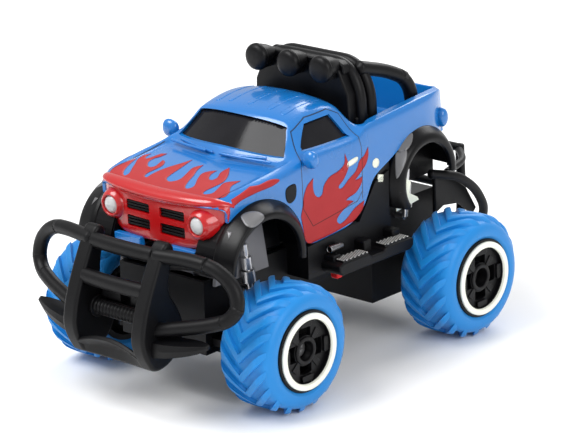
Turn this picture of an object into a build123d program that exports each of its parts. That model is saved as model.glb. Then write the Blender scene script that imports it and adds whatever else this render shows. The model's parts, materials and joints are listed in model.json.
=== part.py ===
"""A small radio controlled monster truck: painted pickup body over a geared, steerable chassis.

Millimetres, +Z up, front of the truck towards -Y, the truck's left side towards +X.
The origin is on the ground in the middle of the truck's bounding box.
"""

from math import acos, cos, pi, radians, sin, tan
import os

from build123d import *

# ---------------------------------------------------------------- driving dimensions

wheelbase = 77.2
front_overhang = 37.0          # front axle to the foremost bumper face
rear_overhang = 30.4           # rear axle to the rearmost bumper face
tyre_radius = 18.5
tread_width = 15.8
wheel_centre_x = 34.8          # half of the track
body_half_width = 25.4
body_wall = 1.2
steering_angle = 20.0

running_fit = 0.06             # radial clearance of a shaft that turns in a bore
gap = 0.3                      # clearance between pieces that pass each other
joint_gap = 0.15               # clearance between fixed pieces that lie side by side

front_axle_y = front_overhang - (front_overhang + wheelbase + rear_overhang) / 2
rear_axle_y = front_axle_y + wheelbase
cab_y = (front_axle_y + rear_axle_y) / 2
axle_z = tyre_radius

# wheels
rim_radius = 11.3              # barrel, where the tyre beads sit
rim_flange_radius = 11.8
rim_wall = 1.1
sidewall_bulge = 1.6           # how far the sidewalls stand out past the tread
lug_count = 24
lug_height = 1.5
lug_width = 2.1
carcass_wall = 1.7
ring_outer_radius = 11.0
ring_inner_radius = 9.2
ring_thickness = 0.9
hub_radius = 4.2
hub_hole_radius = 2.8
spoke_disc_depth = 2.1         # how far the spoked face lies behind the trim ring
spoke_disc_thickness = 1.6

# front suspension and steering
kingpin_x = 21.0
kingpin_radius = 1.0
knuckle_radius = 3.0
knuckle_height = 8.0
ear_thickness = 2.1
spindle_radius = 2.0
steering_arm = 7.0             # kingpin to the tie rod, towards the front
tie_rod_width = 4.2
tie_rod_height = 2.2
peg_radius = 0.9
beam_half_depth = 3.2
wheel_screw_radius = 0.9

# gears
gear_module = 0.5
pressure_angle = 20.0
backlash = 0.08
axle_gear_teeth = 24
idler_small_teeth = 10
idler_large_teeth = 26
motor_pinion_teeth = 8
steering_pinion_teeth = 12
gear_face = 2.6
axle_gear_x = 8.4              # inner face of the gear on the axle
axle_to_idler_angle = 143.0    # direction from axle to idler, seen from +X, 0 towards the rear
idler_to_pinion_angle = 112.0

# rear axle and gearbox
axle_radius = 1.5
bush_radius = 2.6
bush_length = 3.0
gearbox_half_width = 17.5
gearbox_wall = 1.3
gearbox_front = -19.0          # from the rear axle
gearbox_rear = 10.0
gearbox_top_z = 39.2
drive_motor_radius = 7.6
drive_motor_flat = 6.0
drive_motor_length = 18.0
motor_shaft_radius = 0.75

# chassis tub
tub_wall = 1.3
tub_half_width = 17.5
tub_floor_z = 24.0
tub_top_z = 37.5
tub_rear = 19.3                # from the middle of the wheelbase
wing_half_width = 25.6
wing_floor_z = 29.5
wing_front = -17.0
wing_rear = 19.3
battery_diameter = 10.5
battery_length = 44.5
battery_count = 3
contact_space = 1.8
cover_thickness = 1.3
screw_wall = 3.0               # front wall of the battery bay, which takes the cover's screw
housing_half_width = 16.5
housing_floor_z = 14.5
housing_top_z = 36.0
housing_front = -11.8          # from the front axle
housing_rear = 6.2

# body outline heights
sill_z = 39.4
nose_bottom_z = 44.6
hood_front_z = 60.6
cowl_z = 63.6
belt_z = 66.4
roof_edge_z = 75.2
roof_top_z = 77.6
rail_front_z = 69.2
rail_rear_z = 71.6
bed_floor_z = 60.5
bed_half_width = 21.8

# wheel arches: circles in side view, (centre y from the axle, centre z, radius)
front_arch = (2.4, 40.0, 18.2)
front_lip = (0.6, 40.3, 13.4)
rear_arch = (-4.6, 47.8, 15.0)
rear_lip = (-4.6, 47.6, 10.5)
front_lip_x = 30.6
rear_lip_x = 28.6

# tubes and lamps
bumper_tube_radius = 1.7
roll_tube_radius = 1.75
upright_inner_x = 11.0
upright_thickness = 3.4
lamp_radius = 4.6
lamp_spacing = 12.5
lamp_z = 84.2
step_outer_x = 32.5
step_top_z = 34.0
step_height = 3.5

made = []

# grille and headlights
nose_corner_x = 15.6           # the front arches cut the nose away outside this
grille_inner_x = 2.0
grille_outer_x = 11.2
headlight_x = 16.8
headlight_z = 53.1
headlight_radius = 2.5

# body posts and screws
post_radius = 2.4
body_screw_radius = 0.9

# flare feet
front_foot_z = 38.6
rear_foot_z = 40.4
rear_leg_z = 46.8              # the rear legs stop above the bumper's tubes

# bumper, winch and tower
wing_tip_x = 33.0
winch_z = 27.6
tower_thickness = 1.0
damper_body_radius = 2.0

# chassis, cover and switch
wing_thickness = 1.4
cover_ledge = 1.0
cover_tab_half = 3.2
switch_travel = 2.6

# steering and gear details
arm_thickness = 2.0
rack_teeth = 8
pinion_bore = 0.6
idler_shaft_radius = 0.9


def front(offset):
    """Y of a point given from the front axle."""
    return front_axle_y + offset


def cab(offset):
    """Y of a point given from the middle of the wheelbase."""
    return cab_y + offset


def rear(offset):
    """Y of a point given from the rear axle."""
    return rear_axle_y + offset


def keep(part, label):
    """Label a finished piece and queue it for writing."""
    part.label = label
    made.append(part)
    return part


def both_sides(points):
    """A closed outline from its right half, given from one end of the centre line to the other."""
    left = [(-x, y) for x, y in reversed(points) if abs(x) > 1e-6]
    return points + left


def outline(points):
    """A face in the current sketch from a list of corners."""
    Polygon(*points, align=None)


def tube(points, radii, radius):
    """A round tube along straight runs joined by tangent arcs, its middle runs given in order."""
    with BuildPart() as run:
        with BuildLine() as path:
            if radii:
                FilletPolyline(*points, radius=radii)
            else:
                Polyline(*points)
        start = path.line @ 0
        with BuildSketch(Plane(origin=start, z_dir=path.line % 0)):
            Circle(radius)
        sweep(path=path.line)
    return run.part


# ---------------------------------------------------------------- gears


def involute_points(teeth, tooth_angle):
    """Corners of an external spur gear outline, with one tooth centred at tooth_angle (degrees)."""
    pitch_r = gear_module * teeth / 2
    base_r = pitch_r * cos(radians(pressure_angle))
    tip_r = pitch_r + gear_module
    root_r = pitch_r - 1.25 * gear_module
    start_r = max(base_r, root_r)
    half_pitch_tooth = pi / (2 * teeth) - backlash / (2 * pitch_r)

    def involute(r):
        a = acos(min(1.0, base_r / r))
        return tan(a) - a

    steps = 5
    flank = []
    for i in range(steps):
        r = start_r + (tip_r - start_r) * i / (steps - 1)
        flank.append((r, half_pitch_tooth + involute(pitch_r) - involute(r)))
    flank = [(r, a) for r, a in flank if a > 0.02 / r]
    points = []
    for tooth in range(teeth):
        centre = radians(tooth_angle) + 2 * pi * tooth / teeth
        root_a = flank[0][1]
        for r, a in [(root_r, -root_a)] + [(r, -a) for r, a in flank]:
            points.append((r, centre + a))
        for r, a in [(r, a) for r, a in reversed(flank)] + [(root_r, root_a)]:
            points.append((r, centre + a))
    cleaned = []
    for r, a in points:
        corner = (r * cos(a), r * sin(a))
        if not cleaned or abs(corner[0] - cleaned[-1][0]) + abs(corner[1] - cleaned[-1][1]) > 1e-4:
            cleaned.append(corner)
    return cleaned


# the side view plane: its x is the truck's Y, its y is the truck's Z, its normal is +X
def side_plane(x, y=0.0, z=0.0):
    return Plane(origin=(x, y, z), x_dir=(0, 1, 0), z_dir=(1, 0, 0))


axle_to_idler = gear_module * (axle_gear_teeth + idler_small_teeth) / 2
idler_to_pinion = gear_module * (idler_large_teeth + motor_pinion_teeth) / 2
idler_y = rear(axle_to_idler * cos(radians(axle_to_idler_angle)))
idler_z = axle_z + axle_to_idler * sin(radians(axle_to_idler_angle))
motor_y = idler_y + idler_to_pinion * cos(radians(idler_to_pinion_angle))
motor_z = idler_z + idler_to_pinion * sin(radians(idler_to_pinion_angle))
idler_large_x = axle_gear_x + gear_face + gap
gear_web_x = axle_gear_x - gap - gearbox_wall

# ---------------------------------------------------------------- body shell


def body_block(shrink):
    """The lower body without its cab: side, plan and end views cut from one block."""
    side = [
        (front(-13.9), nose_bottom_z),
        (front(-16.4), nose_bottom_z + 4),
        (front(-15.9), hood_front_z - 2),
        (front(-13.2), hood_front_z),
        (cab(-28.6), cowl_z),
        (cab(-20.0), belt_z - 1.2),
        (cab(7.4), belt_z),
        (cab(9.2), rail_front_z),
        (rear(1.9), rail_rear_z),
        (rear(10.4), rail_rear_z - 0.8),
        (rear(11.6), rail_rear_z - 6),
        (rear(9.2), rear_arch[1] + 9),
        (rear(-14.6), rear_arch[1] + 7),
        (cab(12.2), rear_arch[1] + 4),
        (cab(5.0), sill_z + 2),
        (cab(-18.5), sill_z),
    ]
    plan = both_sides([
        (0, front(-16.6)),
        (15.5, front(-15.8)),
        (21.0, front(-13.4)),
        (24.4, front(-7.5)),
        (body_half_width, front(2.5)),
        (body_half_width, rear(-2.0)),
        (body_half_width - 1.2, rear(6.0)),
        (body_half_width - 4.0, rear(11.2)),
        (0, rear(11.9)),
    ])
    end = both_sides([
        (0, sill_z - 2),
        (body_half_width, sill_z - 2),
        (body_half_width, sill_z + 17),
        (body_half_width - 0.7, belt_z),
        (body_half_width - 2.0, rail_rear_z + 0.5),
        (0, rail_rear_z + 1.5),
    ])
    with BuildPart() as block:
        with BuildSketch(side_plane(-body_half_width)):
            outline(side)
            if shrink:
                offset(amount=-shrink, kind=Kind.INTERSECTION)
        extrude(amount=2 * body_half_width)
        with BuildSketch(Plane.XY):
            outline(plan)
            if shrink:
                offset(amount=-shrink, kind=Kind.INTERSECTION)
        extrude(amount=roof_top_z, mode=Mode.INTERSECT)
        with BuildSketch(Plane.XZ.offset(-rear(13))):
            outline(end)
            if shrink:
                offset(amount=-shrink, kind=Kind.INTERSECTION)
        extrude(amount=rear(13) - front(-18), mode=Mode.INTERSECT)
    return block.part


def cab_block(shrink):
    """The cab: a loft from belt line to roof edge, and a low crown above it."""
    levels = [
        (belt_z - 4, 24.6, 22.8, -27.9, -22.6, 9.6),
        (roof_edge_z, 20.2, 18.4, -16.9, -13.4, 6.2),
        (roof_top_z, 16.6, 14.6, -12.6, -9.6, 3.4),
    ]
    with BuildPart() as block:
        for low, high in zip(levels, levels[1:]):
            for z, side_x, front_x, centre_y, corner_y, rear_y in (low, high):
                height = z - shrink if z == roof_top_z else z
                with BuildSketch(Plane.XY.offset(height)):
                    outline(both_sides([
                        (0, cab(centre_y)),
                        (front_x, cab(corner_y)),
                        (side_x, cab(corner_y) + 2.4),
                        (side_x, cab(rear_y)),
                        (0, cab(rear_y) + 0.6),
                    ]))
                    if shrink:
                        offset(amount=-shrink, kind=Kind.INTERSECTION)
            loft(ruled=True)
    return block.part


def arch_cut(circle, axle, inner_x):
    """Wheel openings on both sides: a circle in side view with straight legs down, outside inner_x."""
    centre_y, centre_z, radius = circle
    with BuildPart() as cut:
        for side in (-1, 1):
            with BuildSketch(side_plane(side * inner_x)):
                with Locations((axle + centre_y, centre_z)):
                    Circle(radius)
                with Locations((axle + centre_y, centre_z - radius)):
                    Rectangle(2 * radius, 2 * radius)
            extrude(amount=side * 20)
    return cut.part


grille_rows = [(47.9, 51.3), (52.7, 55.7)]
headlight_y = front(-15.2)
post_x = body_half_width - body_wall - 2.55
post_ys = [cab(-12.5), cab(14.8)]
window_side = [(-15.0, 66.9), (-9.6, 72.6), (1.4, 73.2), (4.0, 66.4)]
windshield = [(0, 66.4), (20.0, 65.8), (16.4, 72.8), (0, 73.6)]

# the space inside the shell, which leaves the pickup bed's floor and walls standing
with BuildPart() as hollow:
    add(body_block(body_wall))
    add(body_block(body_wall).moved(Location((0, 0, -3 * body_wall))))
    add(cab_block(body_wall))
    with BuildSketch(Plane.XY.offset(bed_floor_z - body_wall)):
        with Locations((0, (cab(10.6) + rear(12)) / 2)):
            Rectangle(2 * body_half_width, rear(12) - cab(10.6))
    extrude(amount=30, mode=Mode.SUBTRACT)

with BuildPart() as body_shell:
    add(body_block(0))
    add(cab_block(0))
    add(hollow.part, mode=Mode.SUBTRACT)
    with BuildSketch(Plane.XY.offset(bed_floor_z)):
        with Locations((0, (cab(11.8) + rear(9.4)) / 2)):
            RectangleRounded(2 * bed_half_width, rear(9.4) - cab(11.8), 1.5)
    extrude(amount=20, mode=Mode.SUBTRACT)
    add(arch_cut(front_arch, front_axle_y, nose_corner_x), mode=Mode.SUBTRACT)
    add(arch_cut(rear_arch, rear_axle_y, bed_half_width + 1.1), mode=Mode.SUBTRACT)
    # windscreen, side windows and rear window
    with BuildSketch(Plane.XZ.offset(-cab(-8))):
        outline(both_sides(windshield))
    extrude(amount=24, mode=Mode.SUBTRACT)
    with BuildSketch(side_plane(-30)):
        outline([(cab(y), z) for y, z in window_side])
        fillet(vertices(), radius=0.6)
    extrude(amount=60, mode=Mode.SUBTRACT)
    with BuildSketch(Plane.XZ.offset(-cab(14))):
        with Locations((0, 71.6)):
            RectangleRounded(26, 3.8, 1.0)
    extrude(amount=12, mode=Mode.SUBTRACT)
    # grille slots and headlight holes with raised bezels
    for low, high in grille_rows:
        for side in (-1, 1):
            with BuildSketch(Plane.XZ.offset(-front(-12))):
                with Locations((side * (grille_inner_x + grille_outer_x) / 2, (low + high) / 2)):
                    RectangleRounded(grille_outer_x - grille_inner_x, high - low, 0.5)
            extrude(amount=8, mode=Mode.SUBTRACT)
    for side in (-1, 1):
        with BuildSketch(Plane.XZ.offset(-front(-13.2))):
            with Locations((side * headlight_x, headlight_z)):
                Circle(headlight_radius + 1.3)
        extrude(amount=3.0)
        with BuildSketch(Plane.XZ.offset(-front(-11))):
            with Locations((side * headlight_x, headlight_z)):
                Circle(headlight_radius)
        extrude(amount=9, mode=Mode.SUBTRACT)
    # blue valance under the grille, hung from the nose floor
    for side in (-1, 1):
        with BuildSketch(Plane.XY.offset(nose_bottom_z - 3.6)):
            with Locations((side * 10.5, front(-14.2))):
                Rectangle(9.0, 1.4)
        extrude(amount=6.0)
    # door mirrors
    for side in (-1, 1):
        with BuildSketch(side_plane(side * 27.0 - 1.6, cab(-16.7), 65.4)):
            Ellipse(2.1, 1.9)
        extrude(amount=3.2)
        with BuildSketch(side_plane(side * 25.0 - 1.6, cab(-16.7), 65.0)):
            Circle(0.9)
        extrude(amount=3.2)
    # screw posts down the inside of the doors and the bed
    for side in (-1, 1):
        for y, top in zip(post_ys, (belt_z - 2, bed_floor_z - 0.4)):
            with BuildSketch(Plane.XY.offset(wing_floor_z + wing_thickness)):
                with Locations((side * post_x, y)):
                    Circle(post_radius)
            extrude(amount=top - wing_floor_z - wing_thickness)
            with BuildSketch(Plane.XY.offset(wing_floor_z + wing_thickness)):
                with Locations((side * post_x, y)):
                    Circle(body_screw_radius)
            extrude(amount=8, mode=Mode.SUBTRACT)
keep(body_shell.part, "body_shell")

with BuildPart() as window_insert:
    add(cab_block(body_wall + joint_gap))
    add(cab_block(body_wall + joint_gap + 0.9), mode=Mode.SUBTRACT)
    with BuildSketch(Plane.XY.offset(belt_z - 6)):
        with Locations((0, cab(-8))):
            Rectangle(60, 60)
    extrude(amount=4.6, mode=Mode.SUBTRACT)
keep(window_insert.part, "window_insert")

grille_plate_y = front(-13.9)
with BuildPart() as grille_insert:
    with BuildSketch(Plane.XZ.offset(-grille_plate_y)):
        with Locations((0, (grille_rows[0][0] + grille_rows[1][1]) / 2)):
            RectangleRounded(2 * grille_outer_x + 1.6, grille_rows[1][1] - grille_rows[0][0] + 1.6, 0.6)
    extrude(amount=-1.0)
    # slats that stand forward into each slot
    for low, high in grille_rows:
        for side in (-1, 1):
            for share in (0.25, 0.75):
                with BuildSketch(Plane.XZ.offset(-grille_plate_y)):
                    slat_x = side * (grille_inner_x + grille_outer_x) / 2
                    with Locations((slat_x, low + share * (high - low))):
                        Rectangle(grille_outer_x - grille_inner_x - 0.6, 0.7)
                extrude(amount=0.9)
keep(grille_insert.part, "grille_insert")

with BuildPart() as headlight_lenses:
    for side in (-1, 1):
        with BuildSketch(Plane.XZ.offset(-front(-14.2))):
            with Locations((side * headlight_x, headlight_z)):
                Circle(headlight_radius)
        extrude(amount=1.6, taper=8)
    fillet(headlight_lenses.faces().sort_by(Axis.Y)[:2].edges(), radius=0.6)
keep(headlight_lenses.part, "headlight_lenses")

with BuildPart() as headlight_leds:
    for side in (-1, 1):
        with BuildSketch(Plane.XZ.offset(-front(-11.6))):
            with Locations((side * headlight_x, headlight_z)):
                Circle(1.5)
        extrude(amount=2.2)
    fillet(headlight_leds.faces().sort_by(Axis.Y)[:2].edges(), radius=1.2)
keep(headlight_leds.part, "headlight_leds")

# ---------------------------------------------------------------- wheel arch flares


def flare_pair(arch, lip, lip_x, axle, foot_z, rear_leg_z):
    """Left and right flares: a tapered arch from the body's edge out to a narrow lip."""
    with BuildPart() as pair:
        for side in (-1, 1):
            inner_x = side * (body_half_width - 2.2)
            outer_x = side * lip_x
            for x, circle, grow in ((inner_x, arch, -joint_gap), (outer_x, lip, 1.8)):
                centre_y, centre_z, radius = circle
                with BuildSketch(side_plane(x)):
                    with Locations((axle + centre_y, centre_z)):
                        Circle(radius + grow)
                    with Locations((axle + centre_y, foot_z)):
                        Rectangle(2 * (radius + grow), centre_z - foot_z, align=(Align.CENTER, Align.MIN))
            loft(ruled=True)
        with BuildSketch(Plane.XY.offset(foot_z)):
            with Locations((0, axle)):
                Rectangle(4 * lip_x, 4 * arch[2])
        extrude(amount=-arch[2] * 2, mode=Mode.SUBTRACT)
        with BuildSketch(Plane.XY.offset(rear_leg_z)):
            with Locations((0, axle + arch[0])):
                Rectangle(4 * lip_x, 2 * arch[2], align=(Align.CENTER, Align.MIN))
        extrude(amount=-arch[2] * 2, mode=Mode.SUBTRACT)
        add(arch_cut(lip, axle, body_half_width - 5), mode=Mode.SUBTRACT)
    return pair.part


front_flares = flare_pair(front_arch, front_lip, front_lip_x, front_axle_y, front_foot_z, front_foot_z)
keep(front_flares, "front_flares")
rear_flares = flare_pair(rear_arch, rear_lip, rear_lip_x, rear_axle_y, rear_foot_z, rear_leg_z)
keep(rear_flares, "rear_flares")

# ---------------------------------------------------------------- roll bar and roof lamps

hoop_x = bed_half_width - roll_tube_radius - joint_gap
hoop_y = cab(15.0)
with BuildPart() as roll_bar:
    for shift in (0.0, 4.0):
        add(tube([
            (-hoop_x, hoop_y + shift, bed_floor_z),
            (-hoop_x, hoop_y + shift, lamp_z - 4.0),
            (-hoop_x + 5.0, hoop_y + shift, lamp_z + 0.2),
            (hoop_x - 5.0, hoop_y + shift, lamp_z + 0.2),
            (hoop_x, hoop_y + shift, lamp_z - 4.0),
            (hoop_x, hoop_y + shift, bed_floor_z),
        ], 3.4, roll_tube_radius))
    for side in (-1, 1):
        add(tube([
            (side * 16.5, hoop_y + 3.0, lamp_z - 0.6),
            (side * 17.4, rear(-6.0), rail_rear_z + 5.4),
            (side * 17.8, rear(-1.6), rail_rear_z + 1.2),
            (side * 17.8, rear(-1.6), bed_floor_z),
        ], 2.0, roll_tube_radius + 0.15))
    # panel between the hoop's legs behind the cab, and the bar that carries the lamps
    with BuildSketch(Plane.XZ.offset(-(hoop_y + 2.6))):
        half_panel = [(0, 70.0), (hoop_x, 70.0), (hoop_x, 79.5), (14.5, 83.8), (0, 83.8)]
        Polygon(*both_sides(half_panel), align=None)
    extrude(amount=1.8)
    with BuildSketch(Plane.XY.offset(lamp_z - 1.2)):
        with Locations((0, hoop_y - 1.4)):
            RectangleRounded(2 * hoop_x - 4.6, 3.0, 0.8)
    extrude(amount=4.4)
keep(roll_bar.part, "roll_bar")

lamp_back_y = hoop_y - 2.9
with BuildPart() as roof_lamps:
    for x in (-lamp_spacing, 0, lamp_spacing):
        with BuildSketch(Plane(origin=(x, lamp_back_y, lamp_z), x_dir=(0, 0, 1), z_dir=(1, 0, 0))):
            with BuildLine():
                Polyline((0, 0), (2.4, 0))
                Spline(
                    (2.4, 0), (lamp_radius, 4.2), (3.2, 8.0), (1.5, 9.8), (0, 10.2),
                    tangents=((0.9, 0.6), (-1, 0.05)))
                Line((0, 10.2), (0, 0))
            make_face()
        revolve(axis=Axis((x, lamp_back_y, lamp_z), (0, 1, 0)))
keep(roof_lamps.part, "roof_lamps")

# ---------------------------------------------------------------- front bumper and winch

upright_outer_x = upright_inner_x + upright_thickness
upright_side = [
    (-23.6, 50.2), (-25.8, 49.4), (-34.6, 31.6), (-front_overhang, 26.0), (-front_overhang, 23.6),
    (-34.2, 15.6), (-30.6, 14.2),
    (-28.0, 17.0), (-29.2, 24.0), (-27.0, 31.0), (-21.2, 44.0), (-21.0, 49.0),
]
cross_bars = [(-24.6, 47.0, 3.6, 3.4), (-29.6, 37.4, 3.4, 3.4), (-32.4, 16.8, 4.2, 2.2)]
housing_front_y = front(housing_front)
with BuildPart() as front_bumper:
    for side in (-1, 1):
        upright_mid_x = side * (upright_inner_x + upright_thickness / 2)
        with BuildSketch(side_plane(upright_mid_x - upright_thickness / 2)):
            Polygon(*[(front(y), z) for y, z in upright_side], align=None)
            fillet(vertices(), radius=0.9)
        extrude(amount=upright_thickness)
        # round loop out to the side and back to the upright
        add(tube([
            (side * (upright_inner_x + 1.5), front(-23.6), 46.4),
            (side * 29.0, front(-21.8), 47.2),
            (side * 37.6, front(-22.2), 41.0),
            (side * 36.2, front(-24.6), 34.6),
            (side * (upright_inner_x + 1.5), front(-32.0), 28.2),
        ], [5.0, 4.4, 2.6], bumper_tube_radius))
        # low wing beside the skid plate
        with BuildSketch(Plane.XY.offset(23.4)):
            Polygon(
                (side * upright_inner_x, front(-35.0)),
                (side * 24.0, front(-33.6)),
                (side * wing_tip_x, front(-28.6)),
                (side * (wing_tip_x - 1.6), front(-26.6)),
                (side * 22.0, front(-28.0)),
                (side * upright_inner_x, front(-28.4)),
                align=None,
            )
        extrude(amount=2.4)
        # arm back to the steering housing
        with BuildSketch(Plane.XY.offset(25.0)):
            with Locations((side * (upright_inner_x + 1.6), (front(-28.0) + housing_front_y) / 2)):
                Rectangle(3.0, housing_front_y - front(-28.0))
        extrude(amount=5.0)
    for y, z, depth, height in cross_bars:
        with BuildSketch(side_plane(-upright_outer_x + 0.5, front(y), z)):
            RectangleRounded(depth, height, 0.9)
        extrude(amount=2 * upright_outer_x - 1.0)
    # curved skid plate below the winch
    with BuildSketch(side_plane(-upright_inner_x - 0.5)):
        Polygon(
            (front(-36.4), 22.4), (front(-34.6), 22.4), (front(-31.4), 17.4), (front(-32.4), 15.7),
            (front(-34.4), 16.4), align=None)
    extrude(amount=2 * upright_inner_x + 1.0)
keep(front_bumper.part, "front_bumper")

winch_y = front(-31.0)
with BuildPart() as front_winch:
    with BuildSketch(side_plane(-upright_inner_x, winch_y, winch_z)):
        Circle(2.2)
    extrude(amount=2 * upright_inner_x)
    for x in (-upright_inner_x, -5.0, 3.8, upright_inner_x - 1.2):
        with BuildSketch(side_plane(x, winch_y, winch_z)):
            Circle(3.4)
        extrude(amount=1.2)
    with BuildSketch(side_plane(-9.0, winch_y + 0.8, winch_z + 2.6)):
        RectangleRounded(4.4, 2.6, 0.6)
    extrude(amount=18.0)
keep(front_winch.part, "front_winch")

# ---------------------------------------------------------------- rear bumper

with BuildPart() as rear_bumper:
    loop = [
        (-14.0, rear(6.0), 44.6), (-23.5, rear(9.0), 43.6), (-26.0, rear(16.6), 40.4),
        (-26.0, rear(28.7), 27.0), (26.0, rear(28.7), 27.0), (26.0, rear(16.6), 40.4),
        (23.5, rear(9.0), 43.6), (14.0, rear(6.0), 44.6),
    ]
    add(tube(loop, [2.4, 2.4, 4.0, 4.0, 2.4, 2.4], bumper_tube_radius))
    for side in (-1, 1):
        with BuildSketch(side_plane(side * 12.5 - 1.0)):
            Polygon(
                (rear(gearbox_rear + joint_gap), 27.0), (rear(27.4), 26.4), (rear(27.8), 28.0),
                (rear(20.0), 37.6), (rear(7.0), 46.2), (rear(4.8), 45.0),
                (rear(gearbox_rear + joint_gap), 39.0), align=None)
        extrude(amount=2.0)
    with BuildSketch(Plane.XY.offset(36.0)):
        with Locations((0, rear(14.0))):
            Rectangle(27.0, 5.0)
    extrude(amount=1.6)
keep(rear_bumper.part, "rear_bumper")

# ---------------------------------------------------------------- chassis tub with side steps

tub_front_y = front(housing_rear) + joint_gap
tub_rear_y = cab(tub_rear)
battery_half = battery_count * battery_diameter / 2 + 0.3
bay_front_y = tub_front_y + screw_wall
cover_screw_y = tub_front_y + screw_wall / 2
bay_rear_y = tub_rear_y - tub_wall

with BuildPart() as chassis_tub:
    with BuildSketch(Plane.XY.offset(tub_floor_z)):
        with Locations((0, (tub_front_y + tub_rear_y) / 2)):
            Rectangle(2 * tub_half_width, tub_rear_y - tub_front_y)
    extrude(amount=tub_top_z - tub_floor_z)
    # side wings under the sills
    with BuildSketch(Plane.XY.offset(wing_floor_z)):
        with Locations((0, (cab(wing_front) + cab(wing_rear)) / 2)):
            Rectangle(2 * wing_half_width, wing_rear - wing_front)
    extrude(amount=sill_z - joint_gap - wing_floor_z)
    for side in (-1, 1):
        with BuildSketch(Plane.XY.offset(wing_floor_z + wing_thickness)):
            pocket_x = side * (tub_half_width + wing_half_width) / 2
            with Locations((pocket_x, (cab(wing_front) + cab(wing_rear)) / 2)):
                pocket_width = wing_half_width - tub_half_width - 2 * wing_thickness + 1.0
                Rectangle(pocket_width, wing_rear - wing_front - 2 * wing_thickness)
        extrude(amount=20, mode=Mode.SUBTRACT)
        # black cladding behind the door, up to the body's edge
        with BuildSketch(side_plane(side * (wing_half_width - wing_thickness / 2) - wing_thickness / 2)):
            Polygon(
                (cab(wing_front), wing_floor_z), (cab(wing_front), sill_z - joint_gap),
                (cab(-18.5) + 1.5, sill_z - joint_gap), (cab(5.0) + 0.4, sill_z + 1.6),
                (cab(12.2) + 0.6, rear_arch[1] + 3.4), (rear(-19.8), rear_arch[1] + 5.4),
                (rear(-19.9), rear_foot_z), (cab(wing_rear), wing_floor_z), align=None)
        extrude(amount=wing_thickness)
    # battery bay, open below, and the open box above it
    with BuildSketch(Plane.XY.offset(tub_floor_z)):
        with Locations((0, (bay_front_y + bay_rear_y) / 2)):
            Rectangle(2 * battery_half, bay_rear_y - bay_front_y)
    extrude(amount=tub_top_z, mode=Mode.SUBTRACT)
    for y in (bay_front_y + cover_ledge / 2, bay_rear_y - cover_ledge / 2):
        with BuildSketch(Plane.XY.offset(tub_floor_z + cover_thickness + joint_gap)):
            with Locations((0, y)):
                Rectangle(2 * battery_half, cover_ledge)
        extrude(amount=0.7)
    with BuildSketch(Plane.XY.offset(tub_floor_z)):
        with Locations((0, cover_screw_y)):
            Rectangle(2 * cover_tab_half + 2 * gap, screw_wall + 0.02)
    extrude(amount=cover_thickness, mode=Mode.SUBTRACT)
    with BuildSketch(Plane.XY.offset(tub_floor_z)):
        with Locations((0, cover_screw_y)):
            Circle(wheel_screw_radius + 0.2)
    extrude(amount=cover_thickness + 5.0, mode=Mode.SUBTRACT)
    # screw holes for the body
    for side in (-1, 1):
        for y in post_ys:
            with BuildSketch(Plane.XY.offset(wing_floor_z)):
                with Locations((side * post_x, y)):
                    Circle(body_screw_radius + 0.15)
            extrude(amount=wing_thickness, mode=Mode.SUBTRACT)
    # slot for the power switch's knob
    switch_x = 21.0
    switch_y = cab(-3.0)
    with BuildSketch(Plane.XY.offset(wing_floor_z)):
        with Locations((switch_x, switch_y)):
            RectangleRounded(3.2, 6.6, 0.4)
    extrude(amount=wing_thickness, mode=Mode.SUBTRACT)
keep(chassis_tub.part, "chassis_tub")

step_ys = (cab(-11.0), cab(20.2))
with BuildPart() as side_steps:
    for side in (-1, 1):
        with BuildSketch(side_plane(side * (step_outer_x - 2.6) - 2.6)):
            Polygon(
                (step_ys[0], step_top_z - step_height + 1), (step_ys[0] + 1.5, step_top_z - step_height),
                (step_ys[1] - 4.0, step_top_z - step_height), (step_ys[1], step_top_z - 1.4),
                (step_ys[1], step_top_z), (step_ys[0], step_top_z), align=None)
        extrude(amount=5.2)
        for y in (cab(-7.0), cab(4.4), cab(15.5)):
            with BuildSketch(Plane.XY.offset(step_top_z - step_height + 0.4)):
                with Locations((side * (wing_half_width + step_outer_x - 5.0) / 2, y)):
                    Rectangle(step_outer_x - 5.0 - wing_half_width, 3.0)
            extrude(amount=2.2)
keep(side_steps.part, "side_steps")

with BuildPart() as step_treads:
    for side in (-1, 1):
        for low, high in ((-10.0, 1.6), (7.4, 19.2)):
            with BuildSketch(Plane.XY.offset(step_top_z)):
                with Locations((side * (step_outer_x - 2.6), cab((low + high) / 2))):
                    RectangleRounded(4.0, high - low, 0.5)
            extrude(amount=0.6)
keep(step_treads.part, "step_treads")

with BuildPart() as exhaust_pipes:
    for side in (-1, 1):
        with BuildSketch(Plane.XZ.offset(-cab(-3.0))):
            with Locations((side * (wing_half_width + 1.7), sill_z - 2.6)):
                Circle(1.5)
        extrude(amount=10.0)
        # clamps that hold the pipe to the chassis wing
        for y in (cab(-10.5), cab(-5.0)):
            with BuildSketch(Plane.XZ.offset(-y)):
                with Locations((side * (wing_half_width + 0.5), sill_z - 2.6)):
                    Rectangle(1.0, 1.6)
            extrude(amount=1.0)
        with BuildSketch(Plane.XZ.offset(-cab(-13.0))):
            with Locations((side * (wing_half_width + 1.7), sill_z - 2.6)):
                Circle(0.9)
        extrude(amount=-3.0, mode=Mode.SUBTRACT)
keep(exhaust_pipes.part, "exhaust_pipes")

# ---------------------------------------------------------------- battery cover, cells and electronics

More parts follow.
